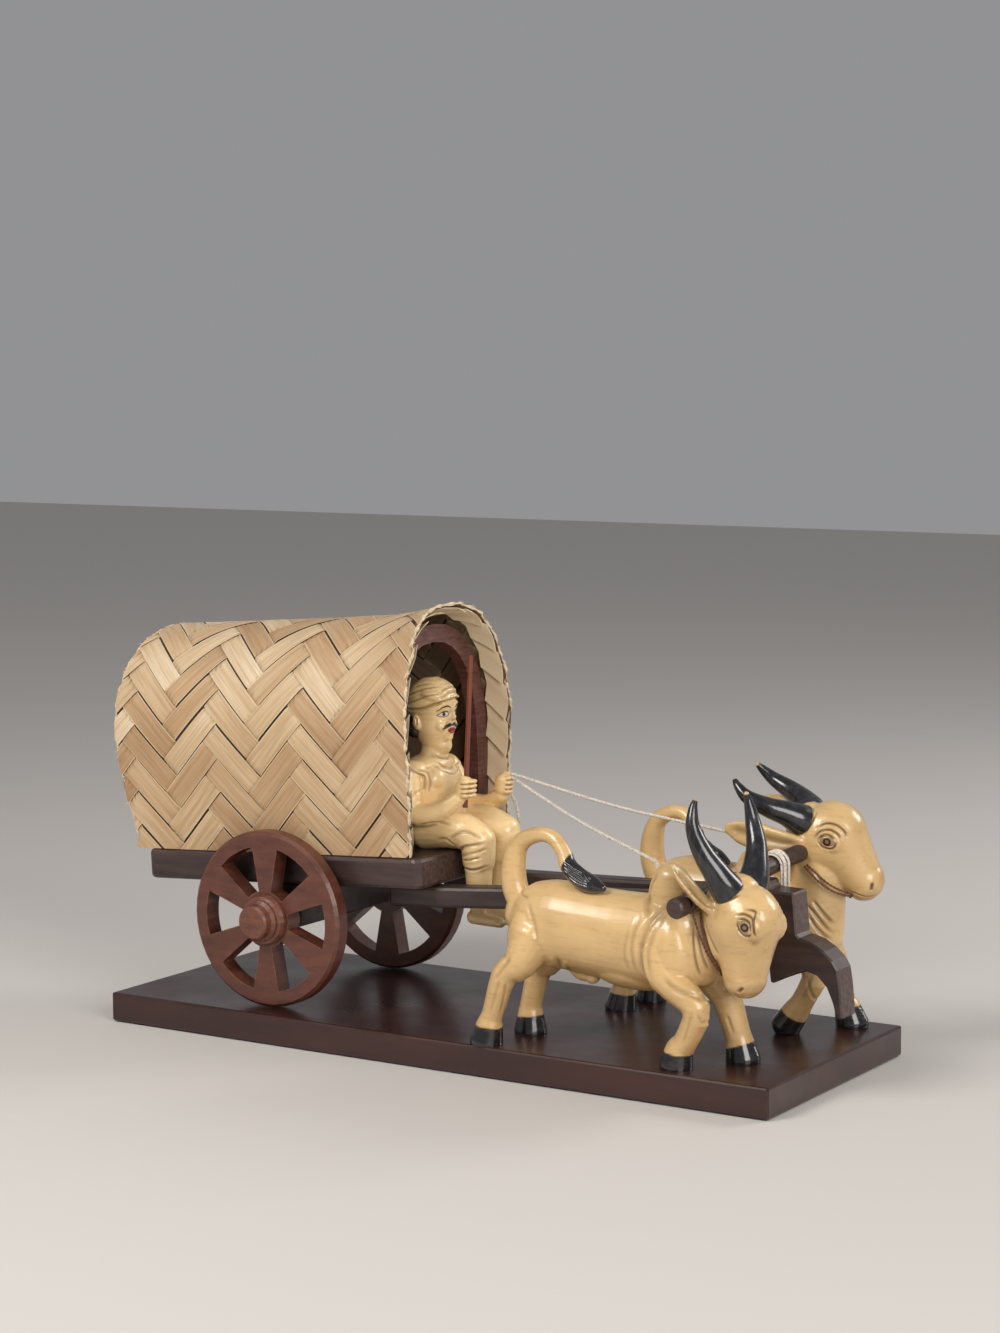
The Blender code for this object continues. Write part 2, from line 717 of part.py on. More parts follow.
# along the head from the poll, towards the forehead, half width, half depth
HEAD = [
    (0.0075, -0.0035, 0.0122, 0.0140),
    (0.0135, -0.0018, 0.0158, 0.0198),
    (0.0210, -0.0005, 0.0172, 0.0225),
    (0.0280, -0.0012, 0.0155, 0.0195),
    (0.0360, -0.0025, 0.0120, 0.0145),
    (0.0430, -0.0028, 0.0106, 0.0113),
    (0.0495, -0.0032, 0.0102, 0.0098),
]
# along, outward, towards the forehead, half thickness, half width
EAR = [
    (0.014, 0.0130, -0.0060, 0.0030, 0.0035),
    (0.006, 0.0185, -0.0100, 0.0032, 0.0062),
    (-0.004, 0.0230, -0.0145, 0.0028, 0.0072),
    (-0.011, 0.0255, -0.0175, 0.0015, 0.0030),
]
# along, outward, towards the forehead, radius
HORN = [
    (0.006, 0.0080, 0.0010, 0.0072),
    (-0.006, 0.0135, -0.0005, 0.0062),
    (-0.017, 0.0175, -0.0035, 0.0050),
    (-0.028, 0.0190, -0.0060, 0.0036),
    (-0.038, 0.0175, -0.0050, 0.0016),
]
# x, side lean, z, radius
TAIL = [
    (-0.1060, 0.000, 0.0700, 0.0070),
    (-0.1105, 0.000, 0.0800, 0.0068),
    (-0.1108, 0.000, 0.0915, 0.0062),
    (-0.1067, 0.000, 0.1020, 0.0048),
    (-0.0955, 0.001, 0.1075, 0.0040),
    (-0.0860, 0.002, 0.1066, 0.0039),
    (-0.0790, 0.0035, 0.1000, 0.0040),
]
TUFT = [
    (-0.0755, 0.0050, 0.0940, 0.0044),
    (-0.0680, 0.0065, 0.0885, 0.0050),
    (-0.0600, 0.0075, 0.0860, 0.0046),
    (-0.0533, 0.0080, 0.0847, 0.0020),
]
# Legs: rows of x, y, z, radius, from the body to the hoof's sole
NEAR_LEGS = {
    "rear near": [(-0.094, -0.0080, 0.056, 0.0130), (-0.100, -0.0130, 0.042, 0.0090),
                  (-0.107, -0.0160, 0.036, 0.0068), (-0.113, -0.0175, 0.016, 0.0056),
                  (-0.1145, -0.0178, 0.011, 0.0060), (-0.1160, -0.0180, 0.001, 0.0078)],
    "rear far": [(-0.092, 0.0080, 0.056, 0.0120), (-0.098, 0.0120, 0.040, 0.0085),
                 (-0.104, 0.0135, 0.034, 0.0066), (-0.109, 0.0137, 0.016, 0.0058),
                 (-0.1095, 0.0138, 0.011, 0.0060), (-0.1100, 0.0138, 0.001, 0.0078)],
    "front near": [(-0.022, -0.0080, 0.056, 0.0125), (-0.014, -0.0125, 0.044, 0.0088),
                   (0.003, -0.0140, 0.031, 0.0072), (-0.003, -0.0138, 0.014, 0.0062),
                   (-0.0065, -0.0136, 0.010, 0.0064), (-0.0085, -0.0134, 0.001, 0.0078)],
    "front far": [(-0.012, 0.0070, 0.056, 0.0120), (-0.003, 0.0120, 0.042, 0.0088),
                  (0.005, 0.0140, 0.031, 0.0076), (0.010, 0.0152, 0.015, 0.0068),
                  (0.0115, 0.0156, 0.010, 0.0066), (0.0130, 0.0156, 0.001, 0.0080)],
}


FAR_LEGS = {
    "rear near": [(-0.085, -0.0080, 0.056, 0.0120), (-0.092, -0.0120, 0.042, 0.0088),
                  (-0.099, -0.0130, 0.035, 0.0068), (-0.104, -0.0132, 0.016, 0.0056),
                  (-0.1055, -0.0132, 0.011, 0.0060), (-0.1070, -0.0132, 0.001, 0.0078)],
    "rear far": [(-0.083, 0.0080, 0.056, 0.0120), (-0.089, 0.0120, 0.040, 0.0085),
                 (-0.095, 0.0130, 0.034, 0.0066), (-0.101, 0.0130, 0.016, 0.0058),
                 (-0.1025, 0.0130, 0.011, 0.0060), (-0.1040, 0.0130, 0.001, 0.0078)],
    "front near": [(-0.014, -0.0080, 0.056, 0.0125), (-0.002, -0.0140, 0.045, 0.0088),
                   (0.010, -0.0170, 0.034, 0.0070), (0.0035, -0.0170, 0.019, 0.0060),
                   (-0.001, -0.0170, 0.012, 0.0064), (-0.0065, -0.0170, 0.004, 0.0072)],
    "front far": [(-0.006, 0.0070, 0.056, 0.0120), (0.002, 0.0120, 0.042, 0.0084),
                  (0.007, 0.0135, 0.032, 0.0070), (0.0105, 0.0150, 0.015, 0.0062),
                  (0.0125, 0.0158, 0.010, 0.0064), (0.0150, 0.0160, 0.001, 0.0080)],
}


# One bullock's pose: neck rows of x, z, half width and half depth; the head's poll, pitch,
# yaw and roll; the torso's and horns' length against the tables'; and the legs
NEAR_BUILD = {
    "back": 1.0,
    "horn": 1.0,
    "neck": [(-0.008, 0.0520, 0.0140, 0.0160), (0.000, 0.0620, 0.0140, 0.0160),
             (0.010, 0.0740, 0.0125, 0.0150), (0.018, 0.0850, 0.0115, 0.0135)],
    "head": ((0.0195, -0.0025, 0.0955), 80, -18, 0),
    "legs": NEAR_LEGS,
}
FAR_BUILD = {
    "back": 0.86,
    "horn": 0.86,
    "neck": [(0.000, 0.0500, 0.0150, 0.0165), (0.002, 0.0650, 0.0135, 0.0155),
             (0.003, 0.0820, 0.0125, 0.0145), (0.002, 0.1010, 0.0115, 0.0130)],
    "head": ((-0.0075, 0.0000, 0.1135), 42, 13, 8),
    "legs": FAR_LEGS,
}


def head_frame(poll, pitch, yaw, roll):
    """A frame at the poll: x down the face, y to the left, z out of the forehead."""
    return (Matrix.Translation(poll)
            @ Matrix.Rotation(math.radians(yaw), 4, "Z")
            @ Matrix.Rotation(math.radians(pitch), 4, "Y")
            @ Matrix.Rotation(math.radians(roll), 4, "X"))


def bullock(side, place, build, hide, black, cutters):
    """Carve one bullock and set its horns and tail in it. Returns the body."""
    frame = Matrix.Translation(place)
    head = frame @ head_frame(*build["head"])
    back = build["back"]
    bm = bmesh.new()
    torso = [(x * back, z, w, h) for x, z, w, h in TORSO]
    loft(bm, [(frame @ Vector((x, 0, z)), w, h) for x, z, w, h in torso])
    loft(bm, [(frame @ Vector((x, 0, z)), w, d) for x, z, w, d in build["neck"]], up=(1, 0, 0))
    x, z, width, length, height = HUMP
    loft(bm, [(frame @ Vector((x * back, 0, z - height)), width, length),
              (frame @ Vector((x * back, 0, z)), width, length),
              (frame @ Vector((x * back, 0, z + height * 0.55)), width * 0.85, length * 0.8)],
         up=(1, 0, 0))
    turned = head.to_3x3()
    loft(bm, [(head @ Vector((a, 0, n)), w, h) for a, n, w, h in HEAD], up=turned @ Vector((0, 0, 1)))
    for turn in (-1, 1):
        outward = turned @ Vector((0.45, turn * 0.5, -0.74))
        loft(bm, [(head @ Vector((a, turn * o, n)), w, t) for a, o, n, t, w in EAR],
             up=outward, sides=10)
    for rows in build["legs"].values():
        loft(bm, [(frame @ Vector((x, y, z)), r, r) for x, y, z, r in rows],
             up=(1, 0, 0), sides=12)
    body = carve(side + "_bullock", bm, hide, BULLOCK_VOXEL, 3, BULLOCK_TRIANGLES)

    sockets = []
    stretch = build["horn"] * HORN_LENGTH / (HORN[0][0] - HORN[-1][0])
    for turn, word in ((-1, "right"), (1, "left")):
        rows = [(head @ Vector((a * stretch, turn * o, n)), r) for a, o, n, r in HORN]
        sockets.append(round_taper(side + "_bullock_" + word + "_horn", rows, black, 10, 2))
    rows = [(frame @ Vector((x * back, -lean, z)), r) for x, lean, z, r in TAIL + TUFT]
    sockets.append(round_taper(side + "_bullock_tail", rows, hide, 10, 1))
    cut(body, *sockets, *cutters)
    return body


def round_taper(name, rows, finish, sides, steps):
    """A tapered round piece, and the socket that it sits in, which is returned."""
    points = smooth_rows(rows, steps)
    for label, grow in ((name, 0.0), (name + "_socket", SEAT)):
        bm = bmesh.new()
        loft(bm, [(place, r + grow, r + grow) for place, r in points], up=(0.1, 1, 0.1), sides=sides)
        made = add_object(label, finish_mesh(label, bm), finish, smooth_angle=180)
    return as_cutter(made)


def smooth_rows(rows, steps):
    places = smooth_path([place for place, _ in rows], steps)
    radii = smooth_path([(radius, 0, 0) for _, radius in rows], steps)
    return [(place, radius.x) for place, radius in zip(places, radii)]


def yoke_at(y):
    """The yoke's centre line at a distance y across the cart."""
    return YOKE_CENTRE + YOKE_LINE * (y / YOKE_LINE.y)


# Neck cords: across from the middle line, ahead of the yoke, below the yoke's centre
NEAR_CORD = [
    (-0.0160, 0.0040, 0.0052), (-0.0150, 0.0080, 0.0180), (-0.0115, 0.0120, 0.0300),
    (-0.0040, 0.0150, 0.0370), (0.0040, 0.0150, 0.0370), (0.0115, 0.0120, 0.0300),
    (0.0150, 0.0080, 0.0180), (0.0160, 0.0040, 0.0052),
]
FAR_CORD = [
    (-0.0150, 0.0040, 0.0062), (-0.0155, 0.0100, 0.0115), (-0.0135, 0.0170, 0.0175),
    (-0.0060, 0.0225, 0.0225), (0.0040, 0.0225, 0.0225), (0.0110, 0.0170, 0.0185),
    (0.0135, 0.0100, 0.0125), (0.0130, 0.0030, 0.0066),
]


def neck_cord(side, body, yoke_room, middle, rows, finish):
    """A cord that hangs from the yoke and passes under the throat."""
    route = []
    for across, ahead, below in rows:
        route.append(yoke_at(middle + across) + Vector((ahead, 0, -below)))
    trees = [surface_tree(body), surface_tree(yoke_room)]
    laid = lay_on(trees, smooth_path(route, 3), CORD_RADIUS + 2 * SEAT)
    tube(side + "_neck_cord", laid, CORD_RADIUS, finish)
    cut(body, tube_cutter(side + "_cord_way", laid, CORD_RADIUS, finish))


def yoke_binding(side, along, finish):
    """Cord wound round the yoke inside its knob."""
    reach = (YOKE_NEAR_REACH if along < 0 else YOKE_FAR_REACH) / YOKE_LINE.y
    inner = YOKE_RADIUS + SEAT
    outer = inner + 2 * CORD_RADIUS
    start = along * (reach - 0.0016)
    profile = []
    for turn in range(BINDING_TURNS):
        for step in range(3):
            angle = math.pi * step / 3
            spot = start - along * CORD_RADIUS * (2 * turn + 1 - math.cos(angle))
            profile.append((inner + 2 * CORD_RADIUS * (0.35 + 0.65 * math.sin(angle)), spot))
    end = start - along * CORD_RADIUS * 2 * BINDING_TURNS
    profile = [(inner, start)] + profile + [(inner + 0.7 * CORD_RADIUS, end), (inner, end)]
    return add_object(side + "_yoke_binding", lathe(side + "_yoke_binding", profile, 14), finish,
                      yoke_frame())


# Reins: where they leave the far fist and where they reach the hump, cart frame and own frame
REIN_FIRST = Vector((0.1105, 0.0178, 0.0690))
REIN_SAG = 0.0025
# Behind the yoke, across from the bullock's middle line and over the yoke
REIN_REACH = {
    "near": [(-0.0285, 0.0000, 0.0150)],
    "far": [(-0.0400, -0.0170, 0.0080), (-0.0215, -0.0100, 0.0020)],
}
# u, y, w of the loose ends under the fist
REIN_ENDS = {
    "near": [(0.1085, 0.0212, 0.0570), (0.1092, 0.0228, 0.0520), (0.1096, 0.0242, 0.0440)],
    "far": [(0.1062, 0.0238, 0.0580), (0.1075, 0.0258, 0.0520), (0.1080, 0.0268, 0.0420)],
}


def reins(figure, near_body, far_body, finish):
    """Two reins from the far fist to the necks, and the loose ends under the fist."""
    hand = surface_tree(figure)
    clearance = REIN_RADIUS + 2 * SEAT
    for side, body, middle in (("near", near_body, NEAR_BULLOCK_Y), ("far", far_body, FAR_BULLOCK_Y)):
        start = SITTING @ REIN_FIRST
        reach = [yoke_at(middle + across) + Vector((behind, 0, over))
                 for behind, across, over in REIN_REACH[side]]
        middle_point = (start + reach[0]) / 2 - Vector((0, 0, REIN_SAG))
        route = smooth_path([start, middle_point] + reach, 12)
        if side == "far":
            route = [point + Vector((0, 0, 2.4 * REIN_RADIUS)) * (1 - k / len(route))
                     for k, point in enumerate(route)]
        route = lay_on([hand, surface_tree(body)], route, clearance)
        loose = [SITTING @ Vector(place) for place in REIN_ENDS[side]]
        held, normal, _, _ = hand.find_nearest(loose[0])
        loose = smooth_path([held - normal * REIN_RADIUS] + loose, 3)
        for name, path in ((side + "_rein", route), (side + "_rein_end", loose)):
            tube(name, path, REIN_RADIUS, finish)
            cut(figure, tube_cutter(name + "_way", path, REIN_RADIUS, finish))


def box_cutter(name, low, high, frame, finish):
    outline = [(low[0], low[1]), (high[0], low[1]), (high[0], high[1]), (low[0], high[1])]
    return as_cutter(add_object(name, prism(name, outline, low[2], high[2]), finish, frame))


# Driver, as he sits on a bed whose front is at DRIVER_BED_FRONT and top at DRIVER_BED_TOP
# u, y, w, half width, half depth
DRIVER_TRUNK = [
    (0.0740, 0.000, 0.0450, 0.0200, 0.0165),
    (0.0720, 0.000, 0.0560, 0.0170, 0.0135),
    (0.0715, 0.000, 0.0660, 0.0180, 0.0130),
    (0.0715, 0.000, 0.0745, 0.0175, 0.0115),
    (0.0725, 0.000, 0.0805, 0.0090, 0.0085),
    (0.0740, 0.000, 0.0880, 0.0066, 0.0070),
]
DRIVER_HEAD = [
    (0.0785, 0.000, 0.0870, 0.0055, 0.0060),
    (0.0760, 0.000, 0.0910, 0.0085, 0.0095),
    (0.0745, 0.000, 0.0980, 0.0108, 0.0116),
    (0.0740, 0.000, 0.1050, 0.0112, 0.0122),
]
DRIVER_TURBAN = [
    (0.0745, 0.000, 0.1045, 0.0126, 0.0138),
    (0.0735, 0.000, 0.1090, 0.0138, 0.0150),
    (0.0735, 0.000, 0.1130, 0.0120, 0.0130),
]
# u, y, w, radius
DRIVER_LIMBS = {
    "near arm": [(0.0680, -0.0195, 0.0735, 0.0068), (0.0720, -0.0240, 0.0540, 0.0062),
                 (0.0850, -0.0190, 0.0540, 0.0060), (0.0955, -0.0130, 0.0610, 0.0050)],
    "near fist": [(0.0985, -0.0112, 0.0635, 0.0056), (0.1005, -0.0108, 0.0690, 0.0056)],
    "far arm": [(0.0700, 0.0185, 0.0735, 0.0066), (0.0780, 0.0235, 0.0540, 0.0060),
                (0.0915, 0.0215, 0.0535, 0.0055), (0.1030, 0.0185, 0.0590, 0.0046)],
    "far fist": [(0.1045, 0.0180, 0.0620, 0.0052), (0.1060, 0.0178, 0.0675, 0.0052)],
    "near thigh": [(0.0720, -0.0100, 0.0435, 0.0110), (0.0940, -0.0100, 0.0435, 0.0100),
                   (0.1045, -0.0095, 0.0395, 0.0092)],
    "far thigh": [(0.0720, 0.0100, 0.0435, 0.0110), (0.0970, 0.0110, 0.0445, 0.0098),
                  (0.1085, 0.0125, 0.0405, 0.0090)],
    "near shin": [(0.1050, -0.0090, 0.0390, 0.0088), (0.1035, -0.0085, 0.0200, 0.0080),
                  (0.1015, -0.0080, 0.0030, 0.0056)],
    "far shin": [(0.1085, 0.0125, 0.0390, 0.0086), (0.1050, 0.0120, 0.0200, 0.0074),
                 (0.1020, 0.0115, 0.0030, 0.0054)],
    "near foot": [(0.0975, -0.0080, -0.0030, 0.0044), (0.1060, -0.0080, -0.0040, 0.0042),
                  (0.1170, -0.0085, -0.0055, 0.0036)],
    "far foot": [(0.0975, 0.0115, -0.0030, 0.0044), (0.1060, 0.0115, -0.0040, 0.0042),
                 (0.1170, 0.0120, -0.0055, 0.0036)],
}


def driver(finish, cutters):
    bm = bmesh.new()
    for rows in (DRIVER_TRUNK, DRIVER_HEAD, DRIVER_TURBAN):
        loft(bm, [(Vector((u, y, w)), across, deep) for u, y, w, across, deep in rows], up=(1, 0, 0))
    for rows in DRIVER_LIMBS.values():
        loft(bm, [(Vector((u, y, w)), r, r) for u, y, w, r in rows], up=(0.2, 1, 0.1), sides=10)
    bm.transform(SITTING)
    figure = carve("driver", bm, finish, DRIVER_VOXEL, 2, DRIVER_TRIANGLES)
    cut(figure, *cutters)
    return figure


# Goad, in the driver's frame: foot and tip
GOAD_FOOT = Vector((0.0985, -0.0112, 0.0560))
GOAD_TIP = Vector((0.1045, -0.0070, 0.1370))


def goad(finish):
    line = GOAD_TIP - GOAD_FOOT
    turn = Vector((0, 1, 0)).rotation_difference(line).to_matrix().to_4x4()
    frame = SITTING @ Matrix.Translation(GOAD_FOOT) @ turn
    profile = [(0, 0), (STICK_RADIUS, 0), (STICK_RADIUS * 0.85, line.length), (0, line.length)]
    grip = [(0, -0.001), (STICK_RADIUS + SEAT, -0.001), (STICK_RADIUS + SEAT, line.length),
            (0, line.length)]
    add_object("goad_stick", lathe("goad_stick", profile, 10), finish, frame)
    return as_cutter(add_object("goad_grip", lathe("goad_grip", grip, 10), finish, frame))


def main():
    clear_scene()
    board_wood = material("Dark lacquered board", (0.075, 0.022, 0.018), 0.35)
    dark_wood = material("Dark brown wood", (0.045, 0.028, 0.022), 0.5)
    red_wood = material("Red brown wood", (0.16, 0.045, 0.030), 0.35)
    pale_wood = material("Honey lacquered wood", (0.62, 0.40, 0.17), 0.35)
    black = material("Black lacquer", (0.012, 0.012, 0.014), 0.25)
    leaf = material("Woven palm leaf", (0.42, 0.27, 0.13), 0.7)
    cotton = material("White cotton", (0.80, 0.76, 0.70), 0.9)
    cord = material("Brown cord", (0.22, 0.12, 0.07), 0.8)
    stick = material("Red stick", (0.32, 0.06, 0.035), 0.4)

    base_board(board_wood)
    poles = []
    for side, sign in (("near", -1), ("far", 1)):
        wheel(side, sign, red_wood, red_wood)
        poles.append(shaft(side, sign, dark_wood))
    axle(dark_wood)
    bed(dark_wood)
    nose_plank = nose(dark_wood)
    _, yoke_seat = yoke(dark_wood)
    lashing_way = lashing(cotton)
    for piece in poles + [nose_plank]:
        cut(piece, yoke_seat, lashing_way)
    hood(leaf)
    hood_arch("front_arch", BED_FRONT - FRONT_ARCH_BACK, red_wood)
    hood_arch("rear_arch", -BED_REAR + REAR_ARCH_AHEAD, red_wood)

    ground = box_cutter("ground", (-BOARD_LENGTH, -BOARD_WIDTH, -BOARD_THICKNESS),
                        (BOARD_LENGTH, BOARD_WIDTH, BOARD_TOP + SEAT), Matrix.Identity(4), board_wood)
    near_seat = yoke_at(NEAR_BULLOCK_Y)
    far_seat = yoke_at(FAR_BULLOCK_Y)
    near_body = bullock("near", (near_seat.x, NEAR_BULLOCK_Y, BOARD_TOP), NEAR_BUILD,
                        pale_wood, black, [yoke_seat, ground])
    far_body = bullock("far", (far_seat.x, FAR_BULLOCK_Y, BOARD_TOP), FAR_BUILD,
                       pale_wood, black, [yoke_seat, ground])
    neck_cord("near", near_body, yoke_seat, NEAR_BULLOCK_Y, NEAR_CORD, cord)
    neck_cord("far", far_body, yoke_seat, FAR_BULLOCK_Y, FAR_CORD, cord)
    for side, along in (("near", -1), ("far", 1)):
        yoke_binding(side, along, cord)

    grip = goad(stick)
    seat = box_cutter("bed_seat", (-BED_REAR, -BED_WIDTH, BED_HEIGHT - BED_THICKNESS / 10),
                      (BED_FRONT + SEAT, BED_WIDTH, BED_TOP + SEAT), CART, dark_wood)
    figure = driver(pale_wood, [seat, grip])
    reins(figure, near_body, far_body, cotton)


main()
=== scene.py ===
"""Looks of a carved wooden bullock cart model: woven hood, lacquered figures, cords and wood."""
import json
import math

import bmesh
import bpy
import numpy as np
from mathutils import Matrix, Vector
from mathutils.bvhtree import BVHTree

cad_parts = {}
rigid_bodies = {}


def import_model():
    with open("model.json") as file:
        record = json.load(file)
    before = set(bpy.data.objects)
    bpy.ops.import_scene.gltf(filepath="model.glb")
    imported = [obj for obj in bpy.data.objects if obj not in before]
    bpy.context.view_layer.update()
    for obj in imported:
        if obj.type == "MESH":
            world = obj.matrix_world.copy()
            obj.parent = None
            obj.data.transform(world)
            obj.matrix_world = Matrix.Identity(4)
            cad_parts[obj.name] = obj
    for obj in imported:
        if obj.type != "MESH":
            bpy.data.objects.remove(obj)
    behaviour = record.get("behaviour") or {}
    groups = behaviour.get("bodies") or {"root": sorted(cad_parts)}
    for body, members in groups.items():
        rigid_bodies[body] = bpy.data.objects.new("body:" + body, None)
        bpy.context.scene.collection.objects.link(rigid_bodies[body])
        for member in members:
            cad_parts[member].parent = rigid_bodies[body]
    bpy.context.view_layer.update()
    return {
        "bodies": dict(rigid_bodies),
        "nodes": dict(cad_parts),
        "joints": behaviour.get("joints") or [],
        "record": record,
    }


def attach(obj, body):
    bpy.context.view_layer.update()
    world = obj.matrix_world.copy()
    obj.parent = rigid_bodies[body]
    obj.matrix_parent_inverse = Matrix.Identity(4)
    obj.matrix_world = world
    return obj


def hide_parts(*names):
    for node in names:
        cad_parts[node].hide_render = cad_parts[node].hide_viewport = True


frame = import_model()
nodes = frame["nodes"]
rng = np.random.default_rng(11)

# The cart's own frame: u forward of the axle, w above it, leaning back by this much
AXLE = Vector((-0.107, 0, 0.0642))
LEAN = math.radians(3.3116)
CART = Matrix.Translation(AXLE) @ Matrix.Rotation(-LEAN, 4, "Y")
BOARD_TOP = 0.0159
SOLE_DEPTH = 0.0005
YOKE_MIDDLE = Vector((0.1601, 0, 0.1066))
YOKE_SLANT = math.radians(6.4)
YOKE_LINE = Vector((math.sin(YOKE_SLANT), 1, math.sin(YOKE_SLANT))).normalized()
TENTHS = 10000
SIDES = ((-1, "right"), (1, "left"))


def yoke_at(y):
    return YOKE_MIDDLE + YOKE_LINE * (y / YOKE_LINE.y)


def metres(table):
    """Lengths in metres from a table in tenths of a millimetre."""
    if isinstance(table, dict):
        return {key: metres(rows) for key, rows in table.items()}
    if isinstance(table, (list, tuple)):
        return type(table)(metres(row) for row in table)
    return table / TENTHS


def mirrored(rows):
    """Half a line and its mirror image."""
    return rows + [(-across, *rest) for across, *rest in rows[::-1]]


def creases(rows):
    """Rows of depth, width, stain and points, in which only the stain isn't a length."""
    return [(depth / TENTHS, width / TENTHS, stain, metres(points)) for depth, width, stain, points in rows]


def lumps(rows):
    """Rows of a place, half sizes and a tilt in degrees."""
    return [(*metres(row[:6]), row[6]) for row in rows]


# Materials


def set_inputs(tree, made, inputs):
    """Set a shader node's inputs to values, or link them from sockets."""
    for key, value in inputs.items():
        socket = made.inputs[key]
        if isinstance(value, bpy.types.NodeSocket):
            tree.links.new(value, socket)
        else:
            socket.default_value = value


def new_material(name):
    made = bpy.data.materials.new(name)
    made.use_nodes = True
    return made, made.node_tree, made.node_tree.nodes["Principled BSDF"]


def node(tree, kind, inputs=None, **settings):
    made = tree.nodes.new(kind)
    for key, value in settings.items():
        setattr(made, key, value)
    set_inputs(tree, made, inputs or {})
    return made


def ramp(tree, factor, stops):
    made = node(tree, "ShaderNodeValToRGB", {"Fac": factor})
    points = made.color_ramp.elements
    while len(points) < len(stops):
        points.new(0.5)
    for point, (place, colour) in zip(points, stops):
        point.position = place
        point.color = (*colour, 1) if isinstance(colour, tuple) else (colour, colour, colour, 1)
    return made.outputs["Color"]


def mix(tree, factor, first, second, how="MIX"):
    sides = [(*side, 1) if isinstance(side, tuple) else side for side in (first, second)]
    return node(tree, "ShaderNodeMix", {0: factor, 6: sides[0], 7: sides[1]}, data_type="RGBA",
                blend_type=how).outputs[2]


def stretched(tree, scale, detail=4.0, rough=0.6, where="Object"):
    """Noise stretched by a different scale on each axis."""
    place = node(tree, "ShaderNodeTexCoord")
    shaped = node(tree, "ShaderNodeMapping", {"Vector": place.outputs[where], "Scale": scale})
    return node(tree, "ShaderNodeTexNoise", {"Vector": shaped.outputs[0], "Scale": 1.0,
                                             "Detail": detail, "Roughness": rough}).outputs["Fac"]


def kept(tree, key):
    """A value that the mesh keeps on its points."""
    return node(tree, "ShaderNodeAttribute", attribute_name=key).outputs["Fac"]


def surface(tree, key):
    return node(tree, "ShaderNodeNewGeometry").outputs[key]


def coated(tree, shader, colour, roughness, coat=0.0, coat_roughness=0.1):
    set_inputs(tree, shader, {"Base Color": colour, "Roughness": roughness, "Coat Weight": coat,
                              "Coat Roughness": coat_roughness})


def bumped(tree, shader, height, strength, distance):
    bump = node(tree, "ShaderNodeBump", {"Height": height, "Strength": strength, "Distance": distance})
    tree.links.new(bump.outputs[0], shader.inputs["Normal"])


def edge_wear(tree, radius, amount):
    """How much a place lies on a sharp edge, broken up by noise."""
    rounded = node(tree, "ShaderNodeBevel", {"Radius": radius}, samples=6).outputs[0]
    same = node(tree, "ShaderNodeVectorMath", {0: rounded, 1: surface(tree, "Normal")},
                operation="DOT_PRODUCT").outputs["Value"]
    edge = ramp(tree, same, [(0.80, amount), (0.985, 0.0)])
    patches = ramp(tree, stretched(tree, (160, 160, 160), 5.0, 0.7), [(0.42, 0.0), (0.62, 1.0)])
    return mix(tree, 1.0, edge, patches, "MULTIPLY")


def stained_wood(name, dark, light, roughness, grain, coat=0.0, bump=0.3, wear=None, end=None):
    """Stained or lacquered timber with its grain along one axis, worn edges and bare end grain."""
    made, tree, shader = new_material(name)
    fibre = stretched(tree, grain, 6.0, 0.7)
    cloud = stretched(tree, (22, 22, 22), 3.0)
    colour = ramp(tree, fibre, [(0.3, dark), (0.72, light)])
    colour = mix(tree, 0.5, colour, ramp(tree, cloud, [(0.35, 0.62), (0.65, 1.0)]), "MULTIPLY")
    if end:
        ahead = node(tree, "ShaderNodeSeparateXYZ", {0: surface(tree, "Normal")})
        pits = stretched(tree, (420, 420, 420), 6.0, 0.75)
        bare = ramp(tree, pits, [(0.38, tuple(c * 0.25 for c in end)), (0.6, end)])
        rough_face = ramp(tree, ahead.outputs["X"], [(0.80, 0.0), (0.93, 0.85)])
        rough_face = mix(tree, 1.0, rough_face, ramp(tree, pits, [(0.35, 0.2), (0.55, 1.0)]), "MULTIPLY")
        colour = mix(tree, rough_face, colour, bare)
    if wear:
        colour = mix(tree, edge_wear(tree, 0.0011, 0.9), colour, wear)
    rough = ramp(tree, cloud, [(0.3, roughness - 0.08), (0.7, roughness + 0.1)])
    coated(tree, shader, colour, rough, coat, 0.2)
    bumped(tree, shader, fibre, bump, 0.0004)
    return made


def figure_lacquer(name, honey, deep):
    """Lacquered carving: brushed honey stain, stained creases, painted shade in the hollows and where the
    mesh keeps it, and painted black parts.
    """
    made, tree, shader = new_material(name)
    brushed = stretched(tree, (60, 240, 420), 5.0, 0.65)
    cloud = stretched(tree, (28, 28, 28), 3.0)
    colour = ramp(tree, cloud, [(0.35, tuple(0.8 * c for c in honey)), (0.65, honey)])
    colour = mix(tree, ramp(tree, brushed, [(0.52, 0.0), (0.75, 0.5)]), colour, deep)
    colour = mix(tree, kept(tree, "stain"), colour, (0.045, 0.018, 0.006))
    # Painted shade kept on the mesh's points, which also holds the nose pad's own darker colour
    colour = mix(tree, kept(tree, "shade"), colour, tuple(c * 0.8 for c in deep))
    paint = kept(tree, "paint")
    # Painted shade: darker in the hollows of the carving
    hollow = ramp(tree, surface(tree, "Pointiness"), [(0.425, 0.75), (0.49, 0.0)])
    colour = mix(tree, hollow, colour, tuple(c * 0.6 for c in deep))
    flecks = ramp(tree, stretched(tree, (90, 400, 400), 4.0, 0.7),
                  [(0.5, (0.007, 0.007, 0.009)), (0.78, (0.045, 0.034, 0.030))])
    rough = ramp(tree, cloud, [(0.3, 0.30), (0.7, 0.42)])
    rough = mix(tree, paint, rough, (0.22, 0.22, 0.22))
    coated(tree, shader, mix(tree, paint, colour, flecks), rough, 0.55, 0.16)
    bumped(tree, shader, brushed, 0.14, 0.0003)
    return made


def plain(name, colour, roughness, coat=0.0):
    made, tree, shader = new_material(name)
    coated(tree, shader, (*colour, 1), roughness, coat)
    return made


